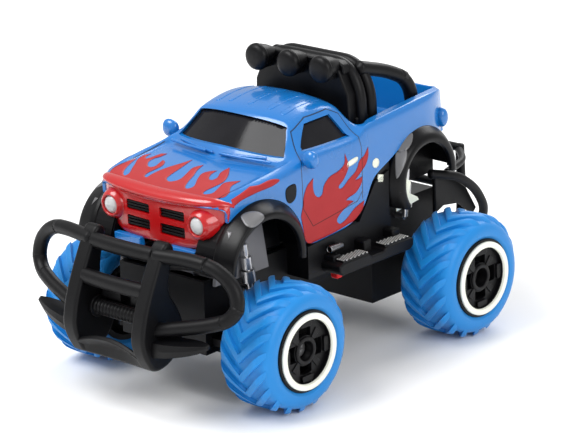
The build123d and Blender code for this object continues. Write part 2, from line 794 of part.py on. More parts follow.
with BuildPart() as battery_cover:
    cover_front_y = bay_front_y + gap
    cover_rear_y = bay_rear_y - gap
    with BuildSketch(Plane.XY.offset(tub_floor_z)):
        with Locations((0, (cover_front_y + cover_rear_y) / 2)):
            Rectangle(2 * (battery_half - gap), cover_rear_y - cover_front_y)
        with Locations((0, (tub_front_y + gap + cover_front_y) / 2)):
            Rectangle(2 * cover_tab_half, cover_front_y - tub_front_y - gap)
    extrude(amount=cover_thickness - joint_gap)
    edge = battery_cover.faces().sort_by(Axis.Y)[-1].edges().filter_by(Axis.X)
    fillet(edge, radius=0.5)
    with GridLocations(0, 5.0, 1, 7):
        with BuildSketch(Plane.XY.offset(tub_floor_z)):
            with Locations((0, (cover_front_y + cover_rear_y) / 2)):
                SlotOverall(18.0, 1.2)
    extrude(amount=0.35, mode=Mode.SUBTRACT)
    with BuildSketch(Plane.XY.offset(tub_floor_z)):
        with Locations((0, cover_screw_y)):
            Circle(wheel_screw_radius)
    extrude(amount=cover_thickness, mode=Mode.SUBTRACT)
keep(battery_cover.part, "battery_cover")

with BuildPart() as cover_screw:
    with BuildSketch(Plane.XY.offset(tub_floor_z)):
        with Locations((0, cover_screw_y)):
            Circle(wheel_screw_radius)
    extrude(amount=cover_thickness + 0.9)
    with BuildSketch(Plane.XY.offset(tub_floor_z)):
        with Locations((0, cover_screw_y)):
            Circle(1.35)
    extrude(amount=-0.8)
    with BuildSketch(Plane.XY.offset(tub_floor_z - 0.8)):
        with Locations((0, cover_screw_y)):
            Rectangle(1.9, 0.45)
            Rectangle(0.45, 1.9)
    extrude(amount=0.4, mode=Mode.SUBTRACT)
keep(cover_screw.part, "cover_screw")

battery_z = tub_floor_z + cover_thickness + gap + battery_diameter / 2
battery_front_y = (bay_front_y + bay_rear_y - battery_length) / 2
with BuildPart() as batteries:
    for i in range(battery_count):
        x = (i - (battery_count - 1) / 2) * battery_diameter
        flip = i % 2
        with BuildSketch(Plane.XZ.offset(-battery_front_y)):
            with Locations((x, battery_z)):
                Circle(battery_diameter / 2 - 0.05)
        extrude(amount=-(battery_length - 1.0) if not flip else -battery_length)
        if flip:
            with BuildSketch(Plane.XZ.offset(-battery_front_y)):
                with Locations((x, battery_z)):
                    Circle(battery_diameter / 2)
                    Circle(1.9, mode=Mode.SUBTRACT)
            extrude(amount=-1.0, mode=Mode.SUBTRACT)
        else:
            with BuildSketch(Plane.XZ.offset(-(battery_front_y + battery_length - 1.0))):
                with Locations((x, battery_z)):
                    Circle(1.9)
            extrude(amount=-1.0)
keep(batteries.part, "batteries")

with BuildPart() as battery_contacts:
    for y in (bay_front_y, bay_rear_y - 0.4):
        for i in range(battery_count):
            x = (i - (battery_count - 1) / 2) * battery_diameter
            with BuildSketch(Plane.XZ.offset(-y)):
                with Locations((x, battery_z)):
                    RectangleRounded(battery_diameter - 2.0, 7.6, 0.6)
            extrude(amount=-0.4)
keep(battery_contacts.part, "battery_contacts")

board_z = sill_z - joint_gap
with BuildPart() as circuit_board:
    with BuildSketch(Plane.XY.offset(board_z)):
        with Locations((0, cab(-4.0))):
            Rectangle(2 * tub_half_width - 1.0, 22.0)
    extrude(amount=1.2)
    chips = (
        (-6, -8, 7, 5, 1.6), (6, -9, 5, 5, 1.4), (8, 2, 4, 6, 3.0), (-9, 2, 3, 3, 4.0), (0, 3, 5, 2, 1.2),
    )
    for x, y, w, d, h in chips:
        with BuildSketch(Plane.XY.offset(board_z + 1.2)):
            with Locations((x, cab(y))):
                Rectangle(w, d)
        extrude(amount=h)
keep(circuit_board.part, "circuit_board")

with BuildPart() as switch_body:
    with BuildSketch(Plane.XY.offset(wing_floor_z + wing_thickness)):
        with Locations((switch_x, switch_y)):
            Rectangle(4.6, 9.0)
    extrude(amount=4.0)
    with BuildSketch(Plane.XY.offset(wing_floor_z + wing_thickness)):
        with Locations((switch_x, switch_y)):
            Rectangle(2.0, 5.4)
    extrude(amount=1.6, mode=Mode.SUBTRACT)
keep(switch_body.part, "switch_body")

with BuildPart() as switch_knob:
    with BuildSketch(Plane.XY.offset(wing_floor_z - 1.8)):
        with Locations((switch_x, switch_y - switch_travel / 2)):
            RectangleRounded(2.4, 2.8, 0.4)
    extrude(amount=1.8 + wing_thickness - 0.2)
    with BuildSketch(Plane.XY.offset(wing_floor_z + wing_thickness - 0.2)):
        with Locations((switch_x, switch_y - switch_travel / 2)):
            Rectangle(1.4, 2.0)
    extrude(amount=1.4)
keep(switch_knob.part, "switch_knob")

# ---------------------------------------------------------------- front axle, steering and its housing

ear_low = axle_z - knuckle_height / 2 - joint_gap - ear_thickness
ear_high = axle_z + knuckle_height / 2 + joint_gap
beam_upright_x = housing_half_width + joint_gap
rod_y = front(-steering_arm)
arm_z = ear_low + ear_thickness + 0.2
rod_z = arm_z + arm_thickness + 0.2
pinion_pitch = gear_module * steering_pinion_teeth / 2
rack_face_y = rod_y + tie_rod_width / 2 + 2.25 * gear_module
rack_pitch_y = rack_face_y - gear_module
pinion_y = rack_pitch_y + pinion_pitch
rack_pitch = pi * gear_module

with BuildPart() as front_axle_beam:
    with BuildSketch(Plane.XY.offset(ear_low)):
        with Locations((0, front_axle_y)):
            SlotCenterToCenter(2 * kingpin_x, 2 * beam_half_depth)
    extrude(amount=ear_thickness)
    for side in (-1, 1):
        with BuildSketch(Plane.XY.offset(ear_low)):
            with Locations((side * (beam_upright_x + 0.6), front_axle_y)):
                Rectangle(1.2, 2 * beam_half_depth)
        extrude(amount=ear_high + ear_thickness - ear_low)
        with BuildSketch(Plane.XY.offset(ear_high)):
            with Locations((side * kingpin_x, front_axle_y)):
                Circle(beam_half_depth)
            with Locations((side * (beam_upright_x + kingpin_x) / 2, front_axle_y)):
                Rectangle(kingpin_x - beam_upright_x, 2 * beam_half_depth)
        extrude(amount=ear_thickness)
    with BuildSketch(Plane.XY.offset(ear_low)):
        with Locations((-kingpin_x, front_axle_y), (kingpin_x, front_axle_y)):
            Circle(kingpin_radius)
    extrude(amount=20, mode=Mode.SUBTRACT)
keep(front_axle_beam.part, "front_axle_beam")

with BuildPart() as kingpins:
    with BuildSketch(Plane.XY.offset(ear_low)):
        with Locations((-kingpin_x, front_axle_y), (kingpin_x, front_axle_y)):
            Circle(kingpin_radius)
    extrude(amount=ear_high + ear_thickness - ear_low)
    with BuildSketch(Plane.XY.offset(ear_high + ear_thickness)):
        with Locations((-kingpin_x, front_axle_y), (kingpin_x, front_axle_y)):
            Circle(kingpin_radius + 0.7)
    extrude(amount=0.8)
keep(kingpins.part, "kingpins")

bead_half = tread_width / 2 + 0.6
rim_inner_x = wheel_centre_x - bead_half - 0.6
rim_outer_x = wheel_centre_x + bead_half + 1.0
ring_x = rim_outer_x + 0.3
disc_outer_x = ring_x + ring_thickness - 0.3 - spoke_disc_depth
hub_inner_x = rim_inner_x + 0.4
hub_outer_x = disc_outer_x - 3.0


def knuckle_part(side, label):
    """Steering knuckle: kingpin boss, wheel spindle and the arm with the tie rod's peg."""
    with BuildPart() as knuckle:
        with BuildSketch(Plane.XY.offset(axle_z - knuckle_height / 2)):
            with Locations((side * kingpin_x, front_axle_y)):
                Circle(knuckle_radius)
        extrude(amount=knuckle_height)
        with BuildSketch(side_plane(side * kingpin_x, front_axle_y, axle_z)):
            Circle(spindle_radius)
        extrude(amount=side * (hub_outer_x - joint_gap - kingpin_x))
        with BuildSketch(side_plane(side * kingpin_x, front_axle_y, axle_z)):
            Circle(knuckle_radius)
        extrude(amount=side * (hub_inner_x - gap - kingpin_x))
        with BuildSketch(Plane.XY.offset(arm_z)):
            with Locations((side * kingpin_x, front_axle_y - steering_arm / 2)):
                Rectangle(3.4, steering_arm)
            with Locations((side * kingpin_x, rod_y)):
                Circle(1.7)
        extrude(amount=arm_thickness)
        with BuildSketch(Plane.XY.offset(arm_z + arm_thickness)):
            with Locations((side * kingpin_x, rod_y)):
                Circle(peg_radius)
        extrude(amount=0.2 + tie_rod_height)
        with BuildSketch(Plane.XY.offset(axle_z - knuckle_height / 2)):
            with Locations((side * kingpin_x, front_axle_y)):
                Circle(kingpin_radius + running_fit)
        extrude(amount=knuckle_height, mode=Mode.SUBTRACT)
        # pilot hole for the wheel screw
        with BuildSketch(side_plane(side * (hub_outer_x - joint_gap), front_axle_y, axle_z)):
            Circle(wheel_screw_radius)
        extrude(amount=-side * 7.0, mode=Mode.SUBTRACT)
    return keep(knuckle.part, label)


knuckle_part(1, "knuckle_left")
knuckle_part(-1, "knuckle_right")

steer_shift = steering_arm * (1 - cos(radians(steering_angle)))
with BuildPart() as tie_rod:
    with BuildSketch(Plane.XY.offset(rod_z)):
        with Locations((0, rod_y)):
            SlotCenterToCenter(2 * kingpin_x, tie_rod_width)
        # rack teeth, a gap in the middle at rest
        for i in range(rack_teeth):
            centre = (i + 0.5 - rack_teeth / 2) * rack_pitch
            slope = tan(radians(pressure_angle))
            half = rack_pitch / 4 - backlash / 2
            root_y = rack_pitch_y - 1.25 * gear_module
            Polygon(
                (centre - half - 1.25 * gear_module * slope, root_y - 0.3),
                (centre - half - 1.25 * gear_module * slope, root_y),
                (centre - half + gear_module * slope, rack_face_y),
                (centre + half - gear_module * slope, rack_face_y),
                (centre + half + 1.25 * gear_module * slope, root_y),
                (centre + half + 1.25 * gear_module * slope, root_y - 0.3),
                align=None,
            )
        for side in (-1, 1):
            with Locations((side * kingpin_x, rod_y + steer_shift / 2)):
                Rectangle(2 * (peg_radius + 0.12), 2 * (peg_radius + 0.12) + steer_shift, mode=Mode.SUBTRACT)
    extrude(amount=tie_rod_height)
keep(tie_rod.part, "tie_rod")

steering_motor_z = rod_z + tie_rod_height + 1.6
with BuildPart() as steering_pinion:
    with BuildSketch(Plane.XY.offset(rod_z - 0.2)):
        with Locations((0, pinion_y)):
            Polygon(*involute_points(steering_pinion_teeth, -90), align=None)
            Circle(pinion_bore, mode=Mode.SUBTRACT)
    extrude(amount=tie_rod_height + 0.3)
    with BuildSketch(Plane.XY.offset(rod_z - 0.2)):
        with Locations((0, pinion_y)):
            Circle(pinion_bore)
    extrude(amount=tie_rod_height + 2.6)
keep(steering_pinion.part, "steering_pinion")

with BuildPart() as steering_motor:
    with BuildSketch(Plane.XY.offset(steering_motor_z)):
        with Locations((0, pinion_y)):
            Circle(5.4)
            Rectangle(8.6, 12.0, mode=Mode.INTERSECT)
            Circle(pinion_bore + running_fit, mode=Mode.SUBTRACT)
    extrude(amount=13.0)
keep(steering_motor.part, "steering_motor")

with BuildPart() as steering_housing:
    with BuildSketch(Plane.XY.offset(housing_floor_z)):
        with Locations((0, front((housing_front + housing_rear) / 2))):
            Rectangle(2 * housing_half_width, housing_rear - housing_front)
    extrude(amount=housing_top_z - housing_floor_z)
    with BuildSketch(Plane.XY.offset(housing_floor_z + tub_wall)):
        with Locations((0, front((housing_front + housing_rear) / 2))):
            Rectangle(2 * (housing_half_width - tub_wall), housing_rear - housing_front - 2 * tub_wall)
    extrude(amount=housing_top_z, mode=Mode.SUBTRACT)
    # slots in both sides for the tie rod
    with BuildSketch(side_plane(-housing_half_width, rod_y, rod_z + tie_rod_height / 2)):
        Rectangle(tie_rod_width + 2 * gap, tie_rod_height + 2 * gap)
    extrude(amount=2 * housing_half_width, mode=Mode.SUBTRACT)
    # shelf that carries the steering motor
    with BuildSketch(Plane.XY.offset(steering_motor_z - tub_wall)):
        with Locations((0, pinion_y)):
            Rectangle(2 * housing_half_width - tub_wall, 13.0)
            Circle(pinion_bore + 0.3, mode=Mode.SUBTRACT)
    extrude(amount=tub_wall - 0.05)
keep(steering_housing.part, "steering_housing")

# grey tower above the housing that the dummy front dampers hang from
front_tower_x = tub_half_width + joint_gap + tower_thickness / 2
with BuildPart() as shock_towers:
    for side in (-1, 1):
        with BuildSketch(side_plane(side * front_tower_x - tower_thickness / 2)):
            Polygon(
                (front(-9.4), housing_top_z - 1.4), (front(-7.4), 50.0), (front(-2.0), 51.6), (front(9.6), 51.6),
                (front(10.6), 46.5), (front(12.6), housing_top_z - 1.4), align=None)
        extrude(amount=tower_thickness)
    with BuildSketch(Plane.XY.offset(housing_top_z + 0.1)):
        with Locations((0, front(-1.0))):
            Rectangle(2 * front_tower_x, 14.0)
    extrude(amount=1.4)
keep(shock_towers.part, "front_tower")


damper_x = front_tower_x + tower_thickness / 2 + joint_gap + damper_body_radius


def damper_pair(y, foot_z, lean, support_x, label):
    """Left and right dummy dampers: stepped cylinders with a ball joint, moulded in one piece."""
    with BuildPart() as pair:
        for side in (-1, 1):
            foot = (side * damper_x, y, foot_z)
            plane = Plane(origin=foot, z_dir=(0, lean, 1))
            for low, high, radius in ((0.0, 9.6, 0.9), (3.0, 6.6, damper_body_radius), (7.0, 10.6, 1.5)):
                with BuildSketch(plane.offset(low)):
                    Circle(radius)
                extrude(amount=high - low)
            with BuildSketch(plane.offset(9.4)):
                Circle(0.8)
            extrude(amount=5.0)
            with BuildSketch(Plane(origin=(foot[0], y, foot_z), z_dir=(-side, 0, 0))):
                Circle(1.0)
            extrude(amount=damper_x - support_x)
    return keep(pair.part, label)


damper_pair(front(2.4), 30.6, -0.12, housing_half_width, "front_dampers")
damper_pair(rear(-7.4), 35.0, 0.1, gearbox_half_width, "rear_dampers")

# ---------------------------------------------------------------- wheels


def tyre_form():
    """One tyre on the X axis through the origin, chevrons pointing one way round."""
    half = tread_width / 2
    crown = tyre_radius - lug_height
    profile = [
        (-bead_half, rim_radius), (-bead_half, rim_flange_radius + joint_gap), (-half - sidewall_bulge, 13.4),
        (-half - 0.9, 16.2), (-half + 1.2, crown),
        (half - 1.2, crown), (half + 0.9, 16.2), (half + sidewall_bulge, 13.4),
        (bead_half, rim_flange_radius + joint_gap), (bead_half, rim_radius),
        (half - 0.6, rim_radius), (half - 0.6, 12.6), (half - 1.4, crown - carcass_wall),
        (-half + 1.4, crown - carcass_wall), (-half + 0.6, 12.6), (-half + 0.6, rim_radius),
    ]
    envelope = [
        (-half - 0.9, 14.0), (-half - 0.9, 16.6), (-half + 0.3, 18.0), (-half + 1.6, tyre_radius),
        (half - 1.6, tyre_radius), (half - 0.3, 18.0), (half + 0.9, 16.6), (half + 0.9, 14.0),
    ]
    with BuildPart() as lugs:
        pitch = 2 * pi * tyre_radius / lug_count
        sweep_back = 1.6 * pitch
        for i in range(lug_count):
            angle = 360 * i / lug_count
            plane = Plane(
                origin=(0, 0, 0),
                x_dir=(1, 0, 0),
                z_dir=(0, sin(radians(angle)), -cos(radians(angle))),
            ).offset(crown - 1.4)
            with BuildSketch(plane):
                Polygon(
                    (0, -lug_width / 2), (half + 1.2, sweep_back - lug_width / 2),
                    (half + 1.2, sweep_back + lug_width / 2), (0, lug_width / 2),
                    (-half - 1.2, sweep_back + lug_width / 2), (-half - 1.2, sweep_back - lug_width / 2),
                    align=None)
            extrude(amount=4.4)
        with BuildSketch(Plane.XY):
            Polygon(*envelope, align=None)
        revolve(axis=Axis.X, mode=Mode.INTERSECT)
    with BuildPart() as tyre:
        with BuildSketch(Plane.XY):
            Polygon(*profile, align=None)
        revolve(axis=Axis.X)
        add(lugs.part)
        with BuildSketch(Plane.XY):
            Polygon(
                *profile[10:], (-half - 3, rim_radius), (-half - 3, 0), (half + 3, 0), (half + 3, rim_radius),
                align=None)
        revolve(axis=Axis.X, mode=Mode.SUBTRACT)
    return tyre.part


def rim_form(bore):
    """One rim on the X axis through the origin, its face towards +X."""
    inner = rim_inner_x - wheel_centre_x
    outer = rim_outer_x - wheel_centre_x
    disc = disc_outer_x - wheel_centre_x
    hub_in = hub_inner_x - wheel_centre_x
    hub_out = hub_outer_x - wheel_centre_x
    with BuildPart() as rim:
        with BuildSketch(Plane.XY):
            Polygon(
                (inner, rim_flange_radius), (inner, rim_radius - rim_wall), (outer, rim_radius - rim_wall),
                (outer, rim_flange_radius), (bead_half, rim_flange_radius), (bead_half, rim_radius),
                (-bead_half, rim_radius), (-bead_half, rim_flange_radius), align=None)
        revolve(axis=Axis.X)
        # spoked disc with a raised hub ring and raised pads near its edge
        with BuildSketch(side_plane(disc)):
            Circle(rim_radius - 0.4)
        extrude(amount=-spoke_disc_thickness)
        with BuildSketch(side_plane(disc)):
            Circle(hub_radius)
        extrude(amount=0.5)
        with BuildSketch(side_plane(disc)):
            with PolarLocations(8.2, 4, 0):
                RectangleRounded(1.7, 4.6, 0.3)
        extrude(amount=0.8)
        with BuildSketch(side_plane(disc)):
            with PolarLocations(5.7, 4, 0):
                RectangleRounded(2.6, 4.8, 0.7)
        extrude(amount=-spoke_disc_thickness, mode=Mode.SUBTRACT)
        with BuildSketch(side_plane(disc)):
            with PolarLocations(8.5, 4, 45):
                Circle(0.7)
        extrude(amount=-spoke_disc_thickness, mode=Mode.SUBTRACT)
        # hub tube with its bore, and the wide counterbore seen from outside
        with BuildSketch(side_plane(hub_in)):
            Circle(hub_radius)
        extrude(amount=disc - hub_in)
        with BuildSketch(side_plane(hub_out)):
            Circle(hub_hole_radius)
        extrude(amount=6, mode=Mode.SUBTRACT)
        with BuildSketch(side_plane(hub_in)):
            Circle(bore)
        extrude(amount=20, mode=Mode.SUBTRACT)
    return rim.part


def ring_form():
    """The trim ring on the X axis through the origin."""
    with BuildPart() as ring:
        with BuildSketch(side_plane(rim_outer_x - wheel_centre_x)):
            Circle(ring_outer_radius)
            Circle(ring_inner_radius, mode=Mode.SUBTRACT)
        extrude(amount=ring_thickness)
        outer_face = ring.faces().sort_by(Axis.X)[-1]
        chamfer(outer_face.edges(), length=0.2)
    return ring.part


def place_wheel(form, side, y):
    """Move a form made for the left side to its wheel, mirrored for the right side."""
    shape = form if side > 0 else form.mirror(Plane.YZ)
    return shape.moved(Location((side * wheel_centre_x, y, axle_z)))


tyre_shape = tyre_form()
ring_shape = ring_form()
front_rim_shape = rim_form(spindle_radius + running_fit)
rear_rim_shape = rim_form(axle_radius)
for side, side_name in ((1, "left"), (-1, "right")):
    wheel_ends = ((front_axle_y, "front", front_rim_shape), (rear_axle_y, "rear", rear_rim_shape))
    for y, end_name, rim_shape in wheel_ends:
        keep(place_wheel(tyre_shape, side, y), f"{end_name}_tyre_{side_name}")
        keep(place_wheel(rim_shape, side, y), f"{end_name}_rim_{side_name}")
        keep(place_wheel(ring_shape, side, y), f"{end_name}_trim_ring_{side_name}")
    screw_seat_x = side * hub_outer_x
    with BuildPart() as wheel_screw:
        with BuildSketch(side_plane(screw_seat_x, front_axle_y, axle_z)):
            Circle(2.4)
        extrude(amount=side * 0.9)
        fillet(wheel_screw.faces().sort_by(Axis.X)[-1 if side > 0 else 0].edges(), radius=0.3)
        with BuildSketch(side_plane(screw_seat_x, front_axle_y, axle_z)):
            Circle(wheel_screw_radius)
        extrude(amount=-side * 6.0)
        with BuildSketch(side_plane(screw_seat_x + side * 0.9, front_axle_y, axle_z)):
            Rectangle(2.6, 0.5)
            Rectangle(0.5, 2.6)
        extrude(amount=-side * 0.5, mode=Mode.SUBTRACT)
    keep(wheel_screw.part, f"wheel_screw_{side_name}")

# ---------------------------------------------------------------- rear axle, gears and gearbox

with BuildPart() as rear_axle:
    with BuildSketch(side_plane(-(hub_outer_x - 0.2), rear_axle_y, axle_z)):
        Circle(axle_radius)
    extrude(amount=2 * (hub_outer_x - 0.2))
keep(rear_axle.part, "rear_axle")

bush_x = gearbox_half_width - gearbox_wall
with BuildPart() as axle_bushes:
    for side in (-1, 1):
        with BuildSketch(side_plane(side * bush_x, rear_axle_y, axle_z)):
            Circle(bush_radius)
            Circle(axle_radius + running_fit, mode=Mode.SUBTRACT)
        extrude(amount=side * (gearbox_wall + 0.6))
keep(axle_bushes.part, "axle_bushes")

small_idler_phase = axle_to_idler_angle + 180 + 180 / idler_small_teeth
motor_pinion_phase = idler_to_pinion_angle + 180 + 180 / motor_pinion_teeth
with BuildPart() as axle_gear:
    with BuildSketch(side_plane(axle_gear_x, rear_axle_y, axle_z)):
        Polygon(*involute_points(axle_gear_teeth, axle_to_idler_angle), align=None)
        Circle(axle_radius, mode=Mode.SUBTRACT)
    extrude(amount=gear_face)
keep(axle_gear.part, "axle_gear")

with BuildPart() as idler_gear:
    with BuildSketch(side_plane(axle_gear_x - 0.1, idler_y, idler_z)):
        Polygon(*involute_points(idler_small_teeth, small_idler_phase), align=None)
    extrude(amount=gear_face + gap + 0.2)
    with BuildSketch(side_plane(idler_large_x, idler_y, idler_z)):
        Polygon(*involute_points(idler_large_teeth, idler_to_pinion_angle), align=None)
    extrude(amount=gear_face)
    with BuildSketch(side_plane(axle_gear_x - 1, idler_y, idler_z)):
        Circle(idler_shaft_radius + running_fit)
    extrude(amount=12, mode=Mode.SUBTRACT)
keep(idler_gear.part, "idler_gear")

shaft_end_x = gearbox_half_width - 0.4
with BuildPart() as idler_shaft:
    with BuildSketch(side_plane(gear_web_x, idler_y, idler_z)):
        Circle(idler_shaft_radius)
    extrude(amount=shaft_end_x - gear_web_x)
keep(idler_shaft.part, "idler_shaft")

motor_face_x = gear_web_x - 0.05
with BuildPart() as motor_pinion:
    with BuildSketch(side_plane(idler_large_x, motor_y, motor_z)):
        Polygon(*involute_points(motor_pinion_teeth, motor_pinion_phase), align=None)
    extrude(amount=gear_face)
    with BuildSketch(side_plane(motor_face_x + 0.1, motor_y, motor_z)):
        Circle(motor_shaft_radius)
    extrude(amount=idler_large_x - motor_face_x)
keep(motor_pinion.part, "motor_pinion")

with BuildPart() as drive_motor:
    with BuildSketch(side_plane(motor_face_x - drive_motor_length, motor_y, motor_z)):
        Circle(drive_motor_radius)
        Rectangle(2 * drive_motor_radius, 2 * drive_motor_flat, mode=Mode.INTERSECT)
    extrude(amount=drive_motor_length)
    with BuildSketch(side_plane(motor_face_x - drive_motor_length, motor_y, motor_z)):
        Circle(2.6)
    extrude(amount=-1.4)
keep(drive_motor.part, "drive_motor")

gearbox_floor_z = axle_z - gear_module * (axle_gear_teeth / 2 + 1) - 0.4 - gearbox_wall
gearbox_split_z = axle_z


def gearbox_half(low, high, open_face, label):
    """One half of the gearbox, with half seats for the bushes where it meets the other half."""
    y_mid = rear((gearbox_front + gearbox_rear) / 2)
    depth = gearbox_rear - gearbox_front
    with BuildPart() as half:
        with BuildSketch(Plane.XY.offset(low)):
            with Locations((0, y_mid)):
                Rectangle(2 * gearbox_half_width, depth)
        extrude(amount=high - low)
        inner_low = low if open_face == "below" else low + gearbox_wall
        inner_high = high if open_face == "above" else high - gearbox_wall
        with BuildSketch(Plane.XY.offset(inner_low)):
            with Locations((0, y_mid)):
                Rectangle(2 * (gearbox_half_width - gearbox_wall), depth - 2 * gearbox_wall)
        extrude(amount=inner_high - inner_low, mode=Mode.SUBTRACT)
        if open_face == "below":
            # web between the motor and the gears
            with BuildSketch(Plane.XY.offset(low)):
                with Locations((gear_web_x + gearbox_wall / 2, y_mid)):
                    Rectangle(gearbox_wall, depth - gearbox_wall)
            extrude(amount=high - low - 0.2)
            with BuildSketch(side_plane(gear_web_x, idler_y, idler_z)):
                Circle(idler_shaft_radius)
            extrude(amount=30, mode=Mode.SUBTRACT)
            with BuildSketch(side_plane(gear_web_x, motor_y, motor_z)):
                Circle(motor_shaft_radius + 0.5)
            extrude(amount=gearbox_wall, mode=Mode.SUBTRACT)
            with BuildSketch(side_plane(gear_web_x, rear_axle_y, axle_z)):
                Circle(axle_radius + gap)
            extrude(amount=gearbox_wall, mode=Mode.SUBTRACT)
        with BuildSketch(side_plane(-gearbox_half_width, rear_axle_y, axle_z)):
            Circle(bush_radius)
        extrude(amount=gearbox_wall, mode=Mode.SUBTRACT)
        with BuildSketch(side_plane(bush_x, rear_axle_y, axle_z)):
            Circle(bush_radius)
        extrude(amount=gearbox_wall, mode=Mode.SUBTRACT)
    return keep(half.part, label)


gearbox_half(gearbox_floor_z, gearbox_split_z, "above", "gearbox_lower")
gearbox_half(gearbox_split_z, gearbox_top_z, "below", "gearbox_upper")

# ---------------------------------------------------------------- fasteners and wiring

with BuildPart() as screws:
    for side in (-1, 1):
        for y in post_ys:
            with BuildSketch(Plane.XY.offset(wing_floor_z - 1.0)):
                with Locations((side * post_x, y)):
                    Circle(1.7)
            extrude(amount=1.0)
            with BuildSketch(Plane.XY.offset(wing_floor_z)):
                with Locations((side * post_x, y)):
                    Circle(body_screw_radius)
            extrude(amount=wing_thickness + 6.0)
keep(screws.part, "body_screws")

with BuildPart() as wiring:
    lead_radius = 0.5
    for x in (-1.4, 1.4):
        add(tube([
            (x, cab(7.6), board_z + 2.0), (x, cab(12.0), board_z + 2.0), (x, cab(17.0), board_z + 5.0),
            (x, rear(-17.0), board_z + 5.0), (x, rear(-13.0), gearbox_top_z + 1.0),
        ], [2.0, 2.0, 1.6], lead_radius))
        add(tube([
            (x, cab(-15.4), board_z + 2.0), (x, cab(-19.0), board_z + 2.0), (x, cab(-24.0), board_z + 8.0),
            (x, front(3.0), board_z + 8.0), (x * 4, front(-6.0), 50.0),
        ], [2.0, 2.0, 2.0], lead_radius))
keep(wiring.part, "wiring")

# ---------------------------------------------------------------- output

os.makedirs("parts", exist_ok=True)
for piece in made:
    export_step(piece, f"parts/{piece.label}.step")
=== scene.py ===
"""Small radio controlled monster truck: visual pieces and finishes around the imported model."""

import json
from math import asin, cos, pi, radians, sin, sqrt

import bmesh
import bpy
from bpy.props import FloatProperty, FloatVectorProperty, IntProperty, PointerProperty
from bpy.types import Operator, Panel, PropertyGroup
from mathutils import Matrix, Vector
from mathutils.bvhtree import BVHTree


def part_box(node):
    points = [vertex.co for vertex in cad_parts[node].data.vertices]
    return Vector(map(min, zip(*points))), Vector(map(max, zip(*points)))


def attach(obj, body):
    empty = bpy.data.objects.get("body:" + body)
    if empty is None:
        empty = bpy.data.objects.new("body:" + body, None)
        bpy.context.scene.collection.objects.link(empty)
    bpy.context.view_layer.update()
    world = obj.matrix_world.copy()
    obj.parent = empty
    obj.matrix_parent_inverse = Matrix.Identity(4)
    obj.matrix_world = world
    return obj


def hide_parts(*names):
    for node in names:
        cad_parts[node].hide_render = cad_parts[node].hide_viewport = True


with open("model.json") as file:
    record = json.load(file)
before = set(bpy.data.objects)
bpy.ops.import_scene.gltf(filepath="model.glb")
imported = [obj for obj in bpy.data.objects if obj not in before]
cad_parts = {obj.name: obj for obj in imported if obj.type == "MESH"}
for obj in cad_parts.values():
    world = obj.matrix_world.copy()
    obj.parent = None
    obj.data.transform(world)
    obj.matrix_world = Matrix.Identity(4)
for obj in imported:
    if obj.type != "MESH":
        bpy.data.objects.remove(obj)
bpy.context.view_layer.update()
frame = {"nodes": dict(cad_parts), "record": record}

bl_info = {
    "name": "Toy Monster Truck",
    "version": (1, 0, 0),
    "blender": (4, 5, 0),
    "location": "View3D > Sidebar > Truck",
    "description": "Builds the shell, wheels, bumpers and finishes of a small toy truck",
    "category": "Object",
}

MM = 0.001


def middle(node):
    """The middle of a CAD node's box, in millimetres."""
    low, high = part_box(node)
    return (Vector(low) + Vector(high)) / 2 / MM


FRONT_Y = middle("front_tyre_left").y
REAR_Y = middle("rear_tyre_left").y
MID_Y = (FRONT_Y + REAR_Y) / 2
AXLE_Z = middle("front_tyre_left").z
WHEEL_X = middle("front_tyre_left").x
TYRE_RADIUS = (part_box("front_tyre_left")[1][2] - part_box("front_tyre_left")[0][2]) / 2 / MM


def at(x, y, z):
    """A point in millimetres, its y counted from the middle of the wheelbase, as a place in metres."""
    return Vector((x, y + MID_Y, z)) * MM


# ---------------------------------------------------------------- sizes and colours


class TRUCK_PG_sizes(PropertyGroup):
    shell_wall: FloatProperty(
        name="Shell wall", description="Thickness of the painted shell",
        default=0.0010, min=0.0004, max=0.003, unit="LENGTH")
    lug_height: FloatProperty(
        name="Lug height", description="Height of the tread bars above the carcass",
        default=0.0013, min=0.0004, max=0.003, unit="LENGTH")
    lug_width: FloatProperty(
        name="Lug width", description="Width of a tread bar at its top",
        default=0.0024, min=0.0006, max=0.004, unit="LENGTH")
    lug_count: IntProperty(
        name="Lug count", description="Tread bars round one tyre", default=19, min=8, max=48)
    bumper_tube: FloatProperty(
        name="Bumper tube", description="Radius of the bumper's round loops",
        default=0.0021, min=0.0008, max=0.003, unit="LENGTH")
    roll_tube: FloatProperty(
        name="Roll bar tube", description="Radius of the roll bar's hoops",
        default=0.00175, min=0.0008, max=0.003, unit="LENGTH")
    decal_lift: FloatProperty(
        name="Print lift", description="How far printed patches stand off the paint",
        default=0.00011, min=0.00001, max=0.0003, unit="LENGTH")


def colour_setting(name, description, default):
    """A colour property from 0 to 1."""
    return FloatVectorProperty(name=name, description=description, default=default, size=3,
                               min=0.0, max=1.0, subtype="COLOR")


class TRUCK_PG_colours(PropertyGroup):
    shell_blue: colour_setting("Shell blue", "Paint of the shell", (0.005, 0.160, 0.50))
    flame_red: colour_setting("Flame red", "Paint of the nose and the flames", (0.46, 0.004, 0.006))
    ink_red: colour_setting("Flame ink", "Printed flames", (0.34, 0.016, 0.018))
    tyre_blue: colour_setting("Tyre blue", "Rubber of the tyres", (0.002, 0.195, 0.545))
    black: colour_setting("Black plastic", "Bumpers, flares and roll bar", (0.0022, 0.0022, 0.0028))
    grey: colour_setting("Grey plastic", "Tower behind the front wheels", (0.13, 0.13, 0.14))
    ring: colour_setting("Ring", "Trim ring on the wheels", (0.76, 0.78, 0.66))
    silver: colour_setting("Silver", "Printed patches and step plates", (0.30, 0.30, 0.31))
    glass: colour_setting("Glass", "Tinted windows", (0.010, 0.010, 0.012))
    lens: colour_setting("Lens", "Headlight lenses", (0.55, 0.56, 0.57))
    floor: colour_setting("Floor", "Studio floor", (0.93, 0.93, 0.93))


def sizes():
    return bpy.context.scene.truck_sizes


